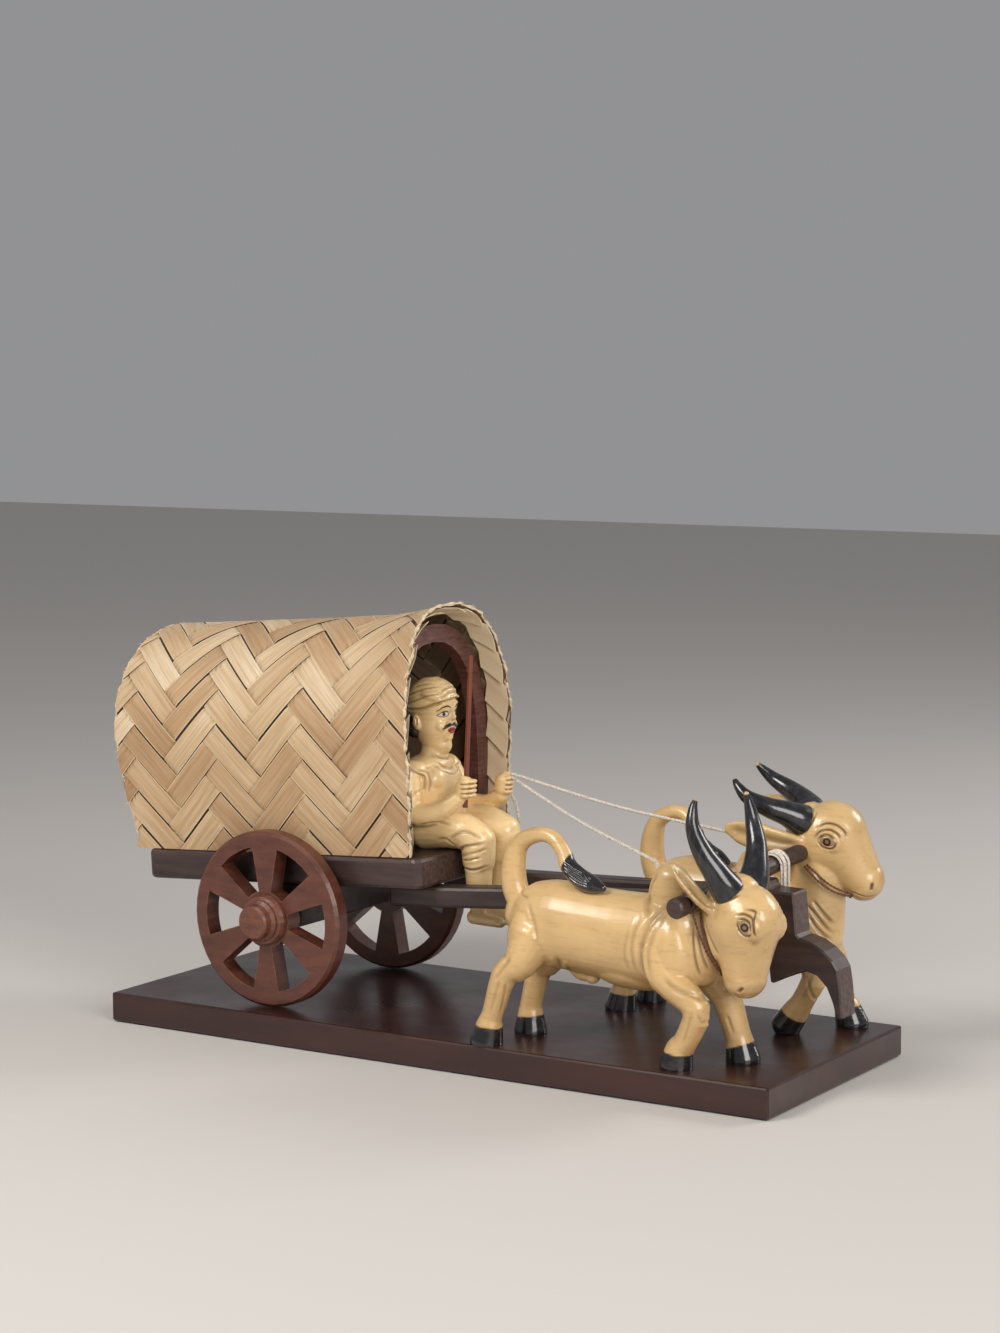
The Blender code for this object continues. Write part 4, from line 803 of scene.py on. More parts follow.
class Carving:
    """A welded skin that is then carved with creases and stained."""

    def __init__(self, bm, voxel, smoothing):
        bmesh.ops.recalc_face_normals(bm, faces=bm.faces)
        mesh = bpy.data.meshes.new("rough")
        bm.to_mesh(mesh)
        bm.free()
        rough = bpy.data.objects.new("rough", mesh)
        bpy.context.collection.objects.link(rough)
        weld = rough.modifiers.new("Weld", "REMESH")
        weld.mode = "VOXEL"
        weld.voxel_size = voxel
        soften = rough.modifiers.new("Soften", "SMOOTH")
        soften.factor = 0.5
        soften.iterations = smoothing
        depsgraph = bpy.context.evaluated_depsgraph_get()
        depsgraph.update()
        self.mesh = bpy.data.meshes.new_from_object(rough.evaluated_get(depsgraph))
        bpy.data.objects.remove(rough)
        bpy.data.meshes.remove(mesh)
        self.creases = []
        self.read()

    def read(self):
        self.co = vectors(self.mesh.vertices, "co")
        self.normal = vectors(self.mesh.vertex_normals, "vector")
        bm = self.edited()
        self.tree = BVHTree.FromBMesh(bm)
        bm.free()

    def edited(self):
        bm = bmesh.new()
        bm.from_mesh(self.mesh)
        return bm

    def write(self, bm):
        bm.to_mesh(self.mesh)
        bm.free()
        self.read()

    def groove(self, frame, points, toward, depth, width, stain=0.5, lip=0.3, taper=True):
        """Plan a groove by looking at a drawn line along a direction of the frame."""
        toward = (frame.to_3x3() @ Vector(toward)).normalized()
        laid, normals = [], []
        for point in smooth_path(points, 6):
            hit, normal, _, _ = self.tree.ray_cast(frame @ point - toward * 0.06, toward)
            if hit is not None:
                laid.append(tuple(hit))
                normals.append(tuple(normal))
        if len(laid) > 1:
            self.creases.append((np.array(laid), np.array(normals), depth, width, stain, lip, taper))

    def groove_sides(self, frame, points, *shape):
        """A groove drawn in x and z, seen from the near side and, mirrored, from the far side."""
        for turn in (-1, 1):
            self.groove(frame, [(x, turn * 0.03, z) for x, z in points], (0, -turn, 0), *shape)

    def trim(self, floor):
        """Cut the soles flat just inside the board."""
        bm = self.edited()
        whole = bm.verts[:] + bm.edges[:] + bm.faces[:]
        cut = bmesh.ops.bisect_plane(bm, geom=whole, plane_co=(0, 0, floor), plane_no=(0, 0, 1),
                                     clear_inner=True)["geom_cut"]
        bmesh.ops.holes_fill(bm, edges=[e for e in cut if isinstance(e, bmesh.types.BMEdge)], sides=0)
        self.write(bm)

    def refine(self, finest):
        """Split the edges near narrow grooves so that they hold their shape."""
        bm = self.edited()
        bmesh.ops.triangulate(bm, faces=bm.faces)
        for limit in (0.0009, 0.00045):
            near = set()
            co = np.array([v.co for v in bm.verts])
            for places, _, _, width, _, _, _ in self.creases:
                if width > limit or width > finest:
                    continue
                picked = inside_box(co, places, 3 * width)
                distance, _ = segment_distance(co[picked], places)
                near.update(picked[distance < 2.6 * width + 0.0002].tolist())
            edges = [e for e in bm.edges if e.verts[0].index in near and e.verts[1].index in near
                     and e.calc_length() > limit * 0.42]
            if edges:
                bmesh.ops.subdivide_edges(bm, edges=edges, cuts=1, use_grid_fill=True)
                bmesh.ops.triangulate(bm, faces=[f for f in bm.faces if len(f.verts) > 3])
            bm.verts.index_update()
        self.write(bm)

    def carve(self, finest):
        """Cut all planned grooves and keep their stain."""
        self.refine(finest)
        self.stain = np.zeros(len(self.co))
        moved = np.zeros(len(self.co))
        for places, facing, depth, width, stain, lip, taper in self.creases:
            picked = inside_box(self.co, places, 4 * width)
            if not len(picked):
                continue
            distance, share = segment_distance(self.co[picked], places)
            which = np.clip((share * (len(places) - 1)).round().astype(int), 0, len(places) - 1)
            same = (self.normal[picked] * facing[which]).sum(1) > 0.1
            fade = np.minimum(1, np.minimum(share, 1 - share) * 5 + 0.15) if taper else np.ones(len(share))
            core = np.exp(-(distance / width) ** 2) * same * fade
            rim = np.exp(-((distance - 1.9 * width) / (0.8 * width)) ** 2) * same * fade
            moved[picked] += -depth * core + lip * depth * rim
            self.stain[picked] = np.maximum(self.stain[picked], stain * core)
        self.co += self.normal * moved[:, None]

    def in_frame(self, frame):
        """The skin's points in a frame."""
        back = frame.inverted()
        return self.co @ np.array(back.to_3x3()).T + np.array(back.translation)

    def build(self, name, finish, paint, shade=0.0):
        mesh = self.mesh
        mesh.vertices.foreach_set("co", self.co.astype(np.float32).ravel())
        keep_values(mesh, {"stain": self.stain, "shade": np.zeros(len(self.co)) + shade, "paint": paint})
        mesh.update()
        mesh.shade_smooth()
        mesh.name = name
        mesh.materials.clear()
        return placed(name, mesh, finish)


# x, z, half width, half height, in a bullock's own frame: x from the yoke, z over the board
TORSO = metres([
    (-1080, 675, 80, 115), (-1010, 655, 140, 180), (-880, 628, 172, 223), (-690, 615, 175, 225),
    (-460, 600, 180, 230), (-260, 595, 190, 235), (-120, 605, 175, 215), (-20, 630, 140, 175),
])
# x, z, half width, half length, half height
HUMP = metres((-195, 845, 95, 110, 150))
# down the face from the poll, towards the forehead, half width, half depth
HEAD = metres([
    (75, -35, 122, 140), (135, -18, 158, 198), (210, -5, 172, 225), (280, -8, 158, 200),
    (360, -14, 130, 160), (430, -22, 114, 130), (500, -32, 102, 104),
])
# down the face, outward, towards the forehead, half thickness, half width
EAR = metres([
    (140, 130, -60, 30, 35), (60, 185, -100, 32, 62), (-40, 230, -145, 28, 72), (-110, 255, -175, 12, 30),
])
# down the face, outward, towards the forehead, radius
HORN = metres([
    (50, 76, 6, 86), (10, 104, 4, 78), (-50, 136, -4, 65), (-150, 182, -30, 52), (-270, 202, -58, 38),
    (-360, 190, -58, 24), (-415, 170, -50, 11),
])
# x, side lean, z, radius
TAIL = metres([
    (-1060, 0, 700, 70), (-1105, 0, 800, 68), (-1108, 0, 915, 62), (-1067, 0, 1020, 48),
    (-955, 10, 1075, 40), (-860, 20, 1066, 39), (-790, 35, 1000, 40),
])
TUFT = metres([
    (-755, 50, 940, 44), (-680, 65, 885, 50), (-600, 75, 860, 46), (-533, 80, 847, 20),
])
# Legs: rows of x, y, z, radius, from the body to the hoof's sole
NEAR_LEGS = metres([
    [(-940, -80, 560, 130), (-1000, -130, 420, 90), (-1070, -160, 360, 68), (-1130, -175, 160, 56),
     (-1145, -178, 110, 67), (-1165, -180, 10, 88)],
    [(-920, 80, 560, 120), (-980, 120, 400, 85), (-1040, 135, 340, 66), (-1090, 137, 160, 58),
     (-1095, 138, 110, 67), (-1095, 138, 10, 88)],
    [(-220, -80, 560, 125), (-140, -125, 440, 88), (30, -140, 310, 72), (-30, -138, 140, 62),
     (-65, -136, 100, 70), (-85, -134, 10, 86)],
    [(-120, 70, 560, 120), (-30, 120, 420, 88), (50, 140, 310, 76), (100, 152, 150, 68),
     (115, 156, 100, 72), (135, 156, 10, 90)],
])
FAR_LEGS = metres([
    [(-850, -80, 560, 120), (-920, -120, 420, 88), (-990, -130, 350, 68), (-1040, -132, 160, 56),
     (-1055, -132, 110, 67), (-1075, -132, 10, 88)],
    [(-830, 80, 560, 120), (-890, 120, 400, 85), (-950, 130, 340, 66), (-1010, 130, 160, 58),
     (-1025, 130, 110, 67), (-1035, 130, 10, 88)],
    [(-140, -80, 560, 125), (-20, -140, 450, 88), (100, -170, 340, 70), (35, -170, 190, 60),
     (-10, -170, 120, 70), (-65, -170, 40, 80)],
    [(-60, 70, 560, 120), (20, 120, 420, 84), (70, 135, 320, 70), (105, 150, 150, 62), (125, 158, 100, 70),
     (155, 160, 10, 90)],
])
# Rounded masses: a place, half sizes and a tilt. The body's are in pairs, the belly's are single
BODY_LUMPS = lumps([(-950, 95, 560, 130, 90, 165, 12), (-120, 105, 560, 105, 85, 190, -8)])
BELLY_LUMPS = lumps([
    (-400, 0, 480, 300, 135, 145, 3), (-700, 0, 410, 85, 45, 65, 20), (-640, 0, 375, 40, 36, 42, 0),
])
EYE_SOCKET = metres((80, 40, 64))
JAW = metres((250, 85, -90, 140, 62, 95))
MUZZLE = metres((486, 0, -22, 86, 104, 106))
NOSE_PAD = metres((555, 0, 55))
BROW_LIMIT = 0.0182
# Folds of the throat, each bullock's own: depth, width, stain, points x, z
NEAR_CREASES = creases([
    (7, 8, 0.6, [(28, 720), (51, 590), (70, 490)]),
    (7, 8, 0.6, [(-1, 720), (14, 586), (29, 455)]),
    (7, 8, 0.55, [(58, 737), (95, 623), (120, 535)]),
    (6, 8, 0.5, [(82, 745), (122, 660), (150, 600)]),
])
FAR_CREASES = creases([
    (7, 8, 0.6, [(29, 680), (76, 628), (150, 530)]),
    (7, 8, 0.6, [(40, 625), (84, 559), (145, 495)]),
    (7, 8, 0.55, [(30, 553), (77, 474), (120, 424)]),
    (7, 8, 0.6, [(60, 705), (110, 640), (155, 580)]),
    (6, 8, 0.45, [(60, 860), (100, 800), (135, 750)]),
])
NEAR_BUILD = {
    "side": "near", "y": -0.051, "creases": NEAR_CREASES, "back": 1.0, "horn": 1.0, "legs": NEAR_LEGS,
    "neck": [(-0.008, 0.0520, 0.0140, 0.0160), (0.000, 0.0620, 0.0140, 0.0160),
             (0.010, 0.0740, 0.0125, 0.0150), (0.018, 0.0850, 0.0115, 0.0135)],
    "head": ((0.0195, -0.0025, 0.0955), 80, -18, 0), "eye": (0.0233, 0.0080, 0.0140, 0.72),
    "ear": (0.45, 0.50, -0.74), "hollow": (0.0, 0.35, 0.90), "ear_reach": 1.0,
}
FAR_BUILD = {
    "side": "far", "y": 0.047, "creases": FAR_CREASES, "back": 0.86, "horn": 0.86, "legs": FAR_LEGS,
    "neck": [(0.000, 0.0500, 0.0150, 0.0165), (0.002, 0.0650, 0.0135, 0.0155),
             (0.003, 0.0820, 0.0125, 0.0145), (0.002, 0.1010, 0.0115, 0.0130)],
    "head": ((-0.0075, 0.0000, 0.1135), 42, 13, 8), "eye": (0.0223, 0.0132, 0.0055, 0.95),
    "ear": (0.33, 0.85, 0.20), "hollow": (0.33, 0.85, 0.20), "ear_reach": 1.38,
}
# Creases seen from either side, x and z in the bullock's frame
BODY_CREASES = creases([
    (11, 18, 0.3, [(-120, 830), (-210, 720), (-253, 610), (-253, 490), (-210, 390), (-120, 325)]),
    (6, 13, 0.25, [(-125, 800), (-180, 700), (-210, 570), (-195, 460)]),
    (4, 12, 0.22, [(-285, 740), (-310, 605), (-302, 460)]),
    (3, 12, 0.18, [(-333, 680), (-355, 560), (-348, 470)]),
    (8, 14, 0.3, [(-120, 465), (-60, 420), (30, 390), (85, 360)]),
    (9, 18, 0.35, [(-767, 474), (-791, 416), (-860, 350), (-930, 300)]),
    (5, 11, 0.3, [(-725, 440), (-740, 400), (-700, 385)]),
    (6, 12, 0.3, [(-1000, 475), (-1050, 400), (-1085, 350)]),
    (9, 16, 0.25, [(-235, 955), (-285, 840), (-230, 740)]),
    (4, 11, 0.2, [(-940, 740), (-880, 640), (-850, 520)]),
    (4, 8, 0.3, [(-1050, 790), (-1000, 770), (-950, 765)]),
])
# Lines round the eye, down the face and towards the forehead from it
FACE_LINES = creases([
    (5.5, 6.2, 1.0, [(-50, -34), (-46, 6), (-24, 34), (14, 42)]),
    (5.5, 5.8, 1.0, [(-50, -34), (-10, -38), (28, -18), (36, 10), (26, 38)]),
    (5.5, 5.5, 1.0, [(-70, -42), (-72, 6), (-44, 52), (0, 66), (38, 58)]),
    (5.5, 5.5, 1.0, [(-96, 4), (-78, 60), (-34, 92), (16, 96), (46, 82)]),
])
MOUTH = metres([
    (450, -98), (500, -72), (548, -52), (580, -20),
])
NOSTRIL = metres((535, 62, 10))
HORN_CREASES = metres([
    [(40, 85), (65, 35), (75, -25)],
    [(65, 100), (88, 50), (98, -10)],
])


def head_frame(poll, pitch, yaw, roll):
    """A frame at the poll: x down the face, y to the left, z out of the forehead."""
    return (Matrix.Translation(poll)
            @ Matrix.Rotation(math.radians(yaw), 4, "Z")
            @ Matrix.Rotation(math.radians(pitch), 4, "Y")
            @ Matrix.Rotation(math.radians(roll), 4, "X"))


def bullock(build):
    side, back, eye, legs = build["side"], build["back"], build["eye"], build["legs"]
    frame = Matrix.Translation((yoke_at(build["y"]).x, build["y"], BOARD_TOP))
    head = frame @ head_frame(*build["head"])
    turned = head.to_3x3()
    root = EAR[0]
    reach = build["ear_reach"]
    ear = [(*(root[i] + reach * (row[i] - root[i]) for i in range(3)), *row[3:]) for row in EAR]
    x, z, width, length, height = HUMP
    hump = [(x, z - height, width, length), (x, z, width, length),
            (x + 0.001, z + height * 0.55, width * 0.85, length * 0.8)]
    bm = bmesh.new()
    for rows, steps, shrink, up, sides in ((TORSO, 3, back, (0, 0, 1), 40),
                                           (build["neck"], 4, 1, (1, 0, 0), 32),
                                           (hump, 3, back, (1, 0, 0), 32)):
        loft(bm, [(frame @ Vector((x * shrink, 0, z)), w, h) for x, z, w, h in smooth_rows(rows, steps)],
             up=up, sides=sides)
    loft(bm, [(head @ Vector((a, 0, n)), w, h) for a, n, w, h in smooth_rows(HEAD, 4)],
         up=turned @ Vector((0, 0, 1)), sides=40)
    facing = build["ear"]
    for turn in (-1, 1):
        loft(bm, [(head @ Vector((a, turn * o, n)), w, t) for a, o, n, t, w in smooth_rows(ear, 4)],
             up=turned @ Vector((facing[0], turn * facing[1], facing[2])))
        for x, y, *rest in BODY_LUMPS:
            lump(bm, frame, x * back, turn * y, *rest)
        lump(bm, head, eye[0], turn * eye[1], eye[2], *EYE_SOCKET)
        lump(bm, head, JAW[0], turn * JAW[1], *JAW[2:])
    lump(bm, head, *MUZZLE)
    for x, *rest in BELLY_LUMPS:
        lump(bm, frame, x * back, *rest)
    for rows in legs:
        limb(bm, frame, rows)
    carving = Carving(bm, BULLOCK_VOXEL, 4)
    carving.trim(BOARD_TOP - SOLE_DEPTH)

    for *cut, points in BODY_CREASES + build["creases"]:
        carving.groove_sides(frame, [(x * (back if x < -0.01 else 1), z) for x, z in points], *cut)
    for *cut, points in FACE_LINES:
        line = [(eye[0] + a, min(BROW_LIMIT, eye[2] + n * eye[3])) for a, n in points]
        carving.groove_sides(head, line, *cut, 0.5)
    carving.groove_sides(head, MOUTH, 0.0005, 0.0005, 0.75)
    for line in HORN_CREASES:
        carving.groove_sides(head, line, 0.0007, 0.0008, 0.45)
    for turn in (-1, 1):
        a, o, n = NOSTRIL[0], turn * (NOSTRIL[1] + 0.012), NOSTRIL[2]
        carving.groove(head, [(a - 0.0006, o, n + 0.0011), (a + 0.0006, o, n - 0.0009)], (0, -turn, 0),
                       0.0012, 0.0008, 1.0, 0.1, False)
        da, do, dn = build["hollow"]
        hollow = [(a + 0.03 * da, turn * (o + 0.03 * do), n + 0.03 * dn) for a, o, n, _, _ in ear]
        carving.groove(head, hollow, (-da, -turn * do, -dn), 0.0022, 0.0034, 0.42, 0.05)
    for rows in legs:
        hoof_x, hoof_y = rows[-1][:2]
        cleft = [(hoof_x + 0.03, hoof_y, 0.0085), (hoof_x + 0.03, hoof_y, 0.0005)]
        carving.groove(frame, cleft, (-1, 0, 0), 0.0010, 0.0005, 0.6, 0.3, False)
        for turn in (-1, 1):
            shank = [(rows[k][0] + 0.0015, turn * 0.05, rows[k][2]) for k in (2, 3)]
            carving.groove(frame, shank, (0, -turn, 0), 0.0004, 0.0009, 0.22)
    carving.carve(0.0009)

    own = carving.in_frame(frame)
    paint = np.zeros(len(own))
    for rows in legs:
        top, sole = np.array(rows[-2][:3]), np.array(rows[-1][:3])
        along = (sole - top) / np.linalg.norm(sole - top)
        past = (own - top) @ along - 0.0016 + 0.10 * (own[:, 0] - top[0])
        near = np.linalg.norm(own - (top + sole) / 2, axis=1) < 0.013
        paint = np.maximum(paint, np.clip(past / 0.0004 + 0.5, 0, 1) * near)
    # Kept as shade: darker towards the bottom, painted shade on faces that look down, and the nose pad's
    # own darker colour
    below = np.clip((0.050 - own[:, 2]) / 0.03, 0, 1) * 0.16
    under = np.clip(-carving.normal[:, 2], 0, 1) * 0.30
    pad = np.linalg.norm(carving.co - np.array(head @ Vector(NOSE_PAD)), axis=1)
    under = np.maximum(under, np.clip((0.0062 - pad) / 0.003, 0, 1) * 0.45)
    body = carving.build(side + "_bullock_carving", HONEY, paint, np.clip(below + under, 0, 1))
    dress(body, side + "_bullock")
    horns(build, head)
    eyes(build, carving, head)
    tail(build, frame)
    return carving.tree


def horns(build, head):
    for turn, word in SIDES:
        rows = smooth_rows([(a * build["horn"], turn * o, n, r) for a, o, n, r in HORN], 8)
        verts, faces = [], []
        radii = [row[3] for row in rows]
        radii[-1] *= 0.4
        tube_mesh(verts, faces, [head @ Vector(row[:3]) for row in rows], radii, 24)
        count = len(rows)
        tip = np.repeat(np.clip((np.arange(count) - count * 0.94) / 1.2, 0, 1), 24)
        name = "{}_bullock_{}_horn".format(build["side"], word)
        dress(to_object(name + "_lacquer", verts, faces, HORN_GLOSS, {"tip": tip}), name)


def eye_part(name, look, size, subdivisions, finish):
    bm = bmesh.new()
    bmesh.ops.create_icosphere(bm, subdivisions=subdivisions, radius=1)
    bm.transform(look @ Matrix.Diagonal((*size, 1)))
    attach(from_bmesh(name, bm, finish), "cart")


def eyes(build, carving, head):
    """Painted eyeballs between the lids."""
    along, _, inward, _ = build["eye"]
    turned = head.to_3x3()
    for turn, word in SIDES:
        start = head @ Vector((along - 0.0008, turn * 0.05, inward + 0.0002))
        hit, normal, _, _ = carving.tree.ray_cast(start, turned @ Vector((0, -turn, 0)))
        if hit is None:
            continue
        long = turned @ Vector((0.82, 0, 0.57))
        long = (long - normal * long.dot(normal)).normalized()
        for part, size, out, finish in (("ball", (0.0042, 0.0026, 0.0008), -0.0004, EYE_WHITE),
                                        ("iris", (0.0022, 0.0021, 0.0004), 0.00022, INK),
                                        ("pupil", (0.0012, 0.0012, 0.0003), 0.00042, EYE_BROWN)):
            look = axes(long, normal.cross(long), normal, hit + normal * out)
            eye_part("{}_{}_eye_{}".format(build["side"], word, part), look, size, 4, finish)


def tail(build, frame):
    back, side = build["back"], build["side"]
    bm = bmesh.new()
    rows = smooth_rows([(x * back, -lean, z, r) for x, lean, z, r in TAIL + TUFT], 4)
    loft(bm, [(frame @ Vector(row[:3]), row[3], row[3]) for row in rows], up=(0.1, 1, 0.1), sides=28)
    carving = Carving(bm, TAIL_VOXEL, 3)
    tuft = [(x * back, z) for x, _, z, _ in TUFT]
    start = np.array([tuft[0][0] - 0.001, tuft[0][1] + 0.001])
    end = np.array(tuft[-1])
    along = (end - start) / np.linalg.norm(end - start)
    across = np.array([-along[1], along[0]])
    for k, off in enumerate((-0.0034, -0.0019, -0.0004, 0.0011, 0.0026)):
        line = []
        for s in (0.001, 0.006, 0.012, 0.018, 0.0225):
            drawn_in = off * (1 - 0.5 * (s / 0.022) ** 2)
            line.append(start + along * s + across * (drawn_in + 0.0004 * math.sin(k + s * 400)))
        carving.groove_sides(frame, line, 0.0004, 0.00045, 0.0)
    carving.carve(0.0009)
    own = carving.in_frame(frame)
    past = (own[:, [0, 2]] - start) @ along
    paint = np.clip(past / 0.0005 + 0.5, 0, 1) * (own[:, 0] > start[0] - 0.012)
    dress(carving.build(side + "_bullock_tail_carving", HONEY, paint), side + "_bullock_tail")


# Driver: the cart's frame with u forward, w up. Rows of u, y, w, half width, half depth
DRIVER_TRUNK = metres([
    (740, 0, 450, 200, 165), (720, 0, 560, 170, 135), (715, 0, 660, 180, 130), (715, 0, 745, 175, 115),
    (725, 0, 805, 90, 85), (740, 0, 880, 66, 70),
])
DRIVER_HEAD = metres([
    (785, 0, 870, 55, 60), (762, 0, 905, 80, 92), (748, 0, 960, 102, 110), (742, 0, 1020, 110, 117),
    (740, 0, 1065, 110, 117),
])
DRIVER_TURBAN = metres([
    (745, 0, 1090, 122, 134), (737, 0, 1115, 137, 150), (735, 0, 1145, 128, 138),
])
# u, y, w, radius
DRIVER_LIMBS = metres({
    "near arm": [(680, -195, 735, 68), (705, -225, 630, 64), (720, -240, 540, 62), (850, -190, 540, 58),
     (955, -130, 610, 44)],
    "near fist": [(978, -116, 640, 50), (995, -112, 690, 48)],
    "far arm": [(700, 185, 735, 66), (740, 215, 630, 62), (780, 235, 540, 60), (915, 215, 535, 53),
     (1030, 185, 590, 42)],
    "far fist": [(1040, 180, 625, 46), (1052, 178, 672, 45)],
    "near thigh": [(720, -100, 435, 110), (860, -104, 440, 104), (960, -100, 430, 100),
     (1045, -95, 385, 94)],
    "far thigh": [(720, 100, 435, 110), (870, 108, 445, 103), (985, 112, 440, 98), (1085, 125, 395, 92)],
    "near shin": [(1048, -92, 390, 92), (1040, -88, 310, 92), (1036, -86, 256, 86), (1033, -85, 228, 76),
     (1028, -83, 150, 70), (1015, -80, 30, 54)],
    "far shin": [(1083, 125, 390, 90), (1065, 122, 310, 88), (1055, 121, 256, 82), (1050, 120, 228, 72),
     (1040, 119, 150, 66), (1020, 115, 30, 52)],
    "near foot": [(975, -80, -35, 38), (1060, -80, -45, 36), (1155, -85, -58, 29)],
    "far foot": [(975, 115, -35, 38), (1060, 115, -45, 36), (1155, 120, -58, 29)],
})
# Rounded masses: u, y, w, half sizes and a tilt. The second list is mirrored
DRIVER_LUMPS = lumps([
    (853, 0, 1062, 21, 13, 36, 20), (862, 0, 1034, 23, 18, 18, 0), (822, 0, 928, 26, 42, 30, 0),
    (700, 0, 780, 120, 165, 60, 0), (655, -40, 985, 68, 84, 62, 0), (770, 0, 500, 130, 140, 90, 0),
    (780, -40, 1158, 95, 92, 50, 14), (690, 35, 1160, 85, 90, 52, -10),
])
PAIRED_LUMPS = lumps([
    (812, 56, 990, 34, 34, 34, 0), (702, 110, 1015, 22, 13, 43, -12), (826, 45, 1083, 26, 46, 14, 0),
    (690, 160, 762, 80, 70, 56, 0), (785, 72, 700, 50, 74, 68, 0),
])
# Creases seen from either side, points u, w
DRIVER_SIDE_CREASES = creases([
    (7, 8, 0.6, [(620, 1085), (690, 1085), (760, 1092), (830, 1115), (872, 1130)]),
    (5, 6, 0.45, [(610, 1120), (690, 1128), (770, 1155), (850, 1172)]),
    (5, 6, 0.45, [(625, 1160), (690, 1175), (760, 1196), (830, 1205)]),
    (4, 6, 0.4, [(660, 1195), (720, 1215), (780, 1222)]),
    (6, 7, 0.4, [(695, 795), (752, 750), (768, 700), (755, 625)]),
    (4, 6, 0.35, [(725, 790), (772, 750), (790, 700), (780, 640)]),
    (4, 6, 0.3, [(665, 620), (700, 600), (745, 590)]),
    (4, 5, 0.4, [(692, 1045), (708, 1030), (706, 995)]),
    (7, 9, 0.45, [(925, 395), (985, 432), (1040, 440), (1110, 400)]),
    (6, 8, 0.45, [(955, 330), (1010, 358), (1065, 368), (1120, 375)]),
    (5, 7, 0.4, [(965, 300), (1020, 318), (1075, 328), (1125, 345)]),
    (5, 6, 0.4, [(985, 282), (1040, 288), (1100, 300)]),
    (7, 7, 0.6, [(955, 245), (1005, 236), (1060, 234), (1115, 250)]),
    (5, 8, 0.35, [(850, 395), (905, 400), (950, 360)]),
    (5, 8, 0.35, [(780, 480), (860, 492), (940, 475)]),
])
# Creases seen from the front, points y, w
DRIVER_FRONT_CREASES = creases([
    (5, 6, 0.45, [(-85, 845), (-40, 815), (20, 810), (75, 840)]),
    (4, 6, 0.35, [(-100, 810), (-40, 765), (30, 755), (100, 790)]),
    (4, 6, 0.35, [(-110, 785), (-40, 735), (35, 722), (110, 755)]),
    (6, 7, 0.55, [(-120, 1100), (-60, 1122), (10, 1136), (70, 1122), (115, 1098)]),
    (5, 6, 0.45, [(-110, 1140), (-30, 1168), (50, 1165), (100, 1140)]),
    (5, 6, 0.45, [(-80, 1178), (0, 1198), (70, 1185)]),
    (4, 4, 0.55, [(-34, 964), (0, 963), (34, 964)]),
    (4, 6, 0.3, [(-34, 1010), (-56, 978), (-54, 955)]),
    (4, 6, 0.3, [(34, 1010), (56, 978), (54, 955)]),
])
# Painted lines of the face: y, w, radius; each is mirrored
DRIVER_LINES = {
    "brow": (INK, [(22, 1087, 2.2), (45, 1097, 4.0), (72, 1090, 3.6), (92, 1072, 1.6)]),
    "upper_lid": (INK, [(24, 1050, 1.4), (42, 1068, 3.0), (64, 1066, 3.0), (86, 1049, 1.4)]),
    "lower_lid": (INK, [(24, 1050, 1.2), (44, 1040, 2.0), (66, 1040, 2.0), (86, 1049, 1.2)]),
    "moustache": (BLACK, [(3, 991, 6.0), (20, 994, 9.5), (40, 987, 9.0), (58, 978, 6.0), (72, 976, 2.2)]),
    "upper_lip": (LIP, [(0, 971, 7.0), (15, 971, 6.6), (32, 964, 2.6)]),
    "lower_lip": (LIP, [(0, 954, 8.0), (14, 955, 7.2), (29, 961, 2.6)]),
}
# Place and half sizes of the hair's black
HAIR = metres((655, -40, 985, 72, 88, 66))
# Middle of each fist, and the side that it is on
GRIPS = [((0.0993, -0.0112, 0.0664), -1), ((0.1047, 0.0179, 0.0648), 1)]
FINGER_SPACING = 0.0025
# u of a place in front of the driver
IN_FRONT = 0.125


def on_face(carving, y, w):
    """The place and the normal that a look from the front meets."""
    return carving.tree.ray_cast(CART @ Vector((IN_FRONT, y, w)), CART.to_3x3() @ Vector((-1, 0, 0)))[:2]


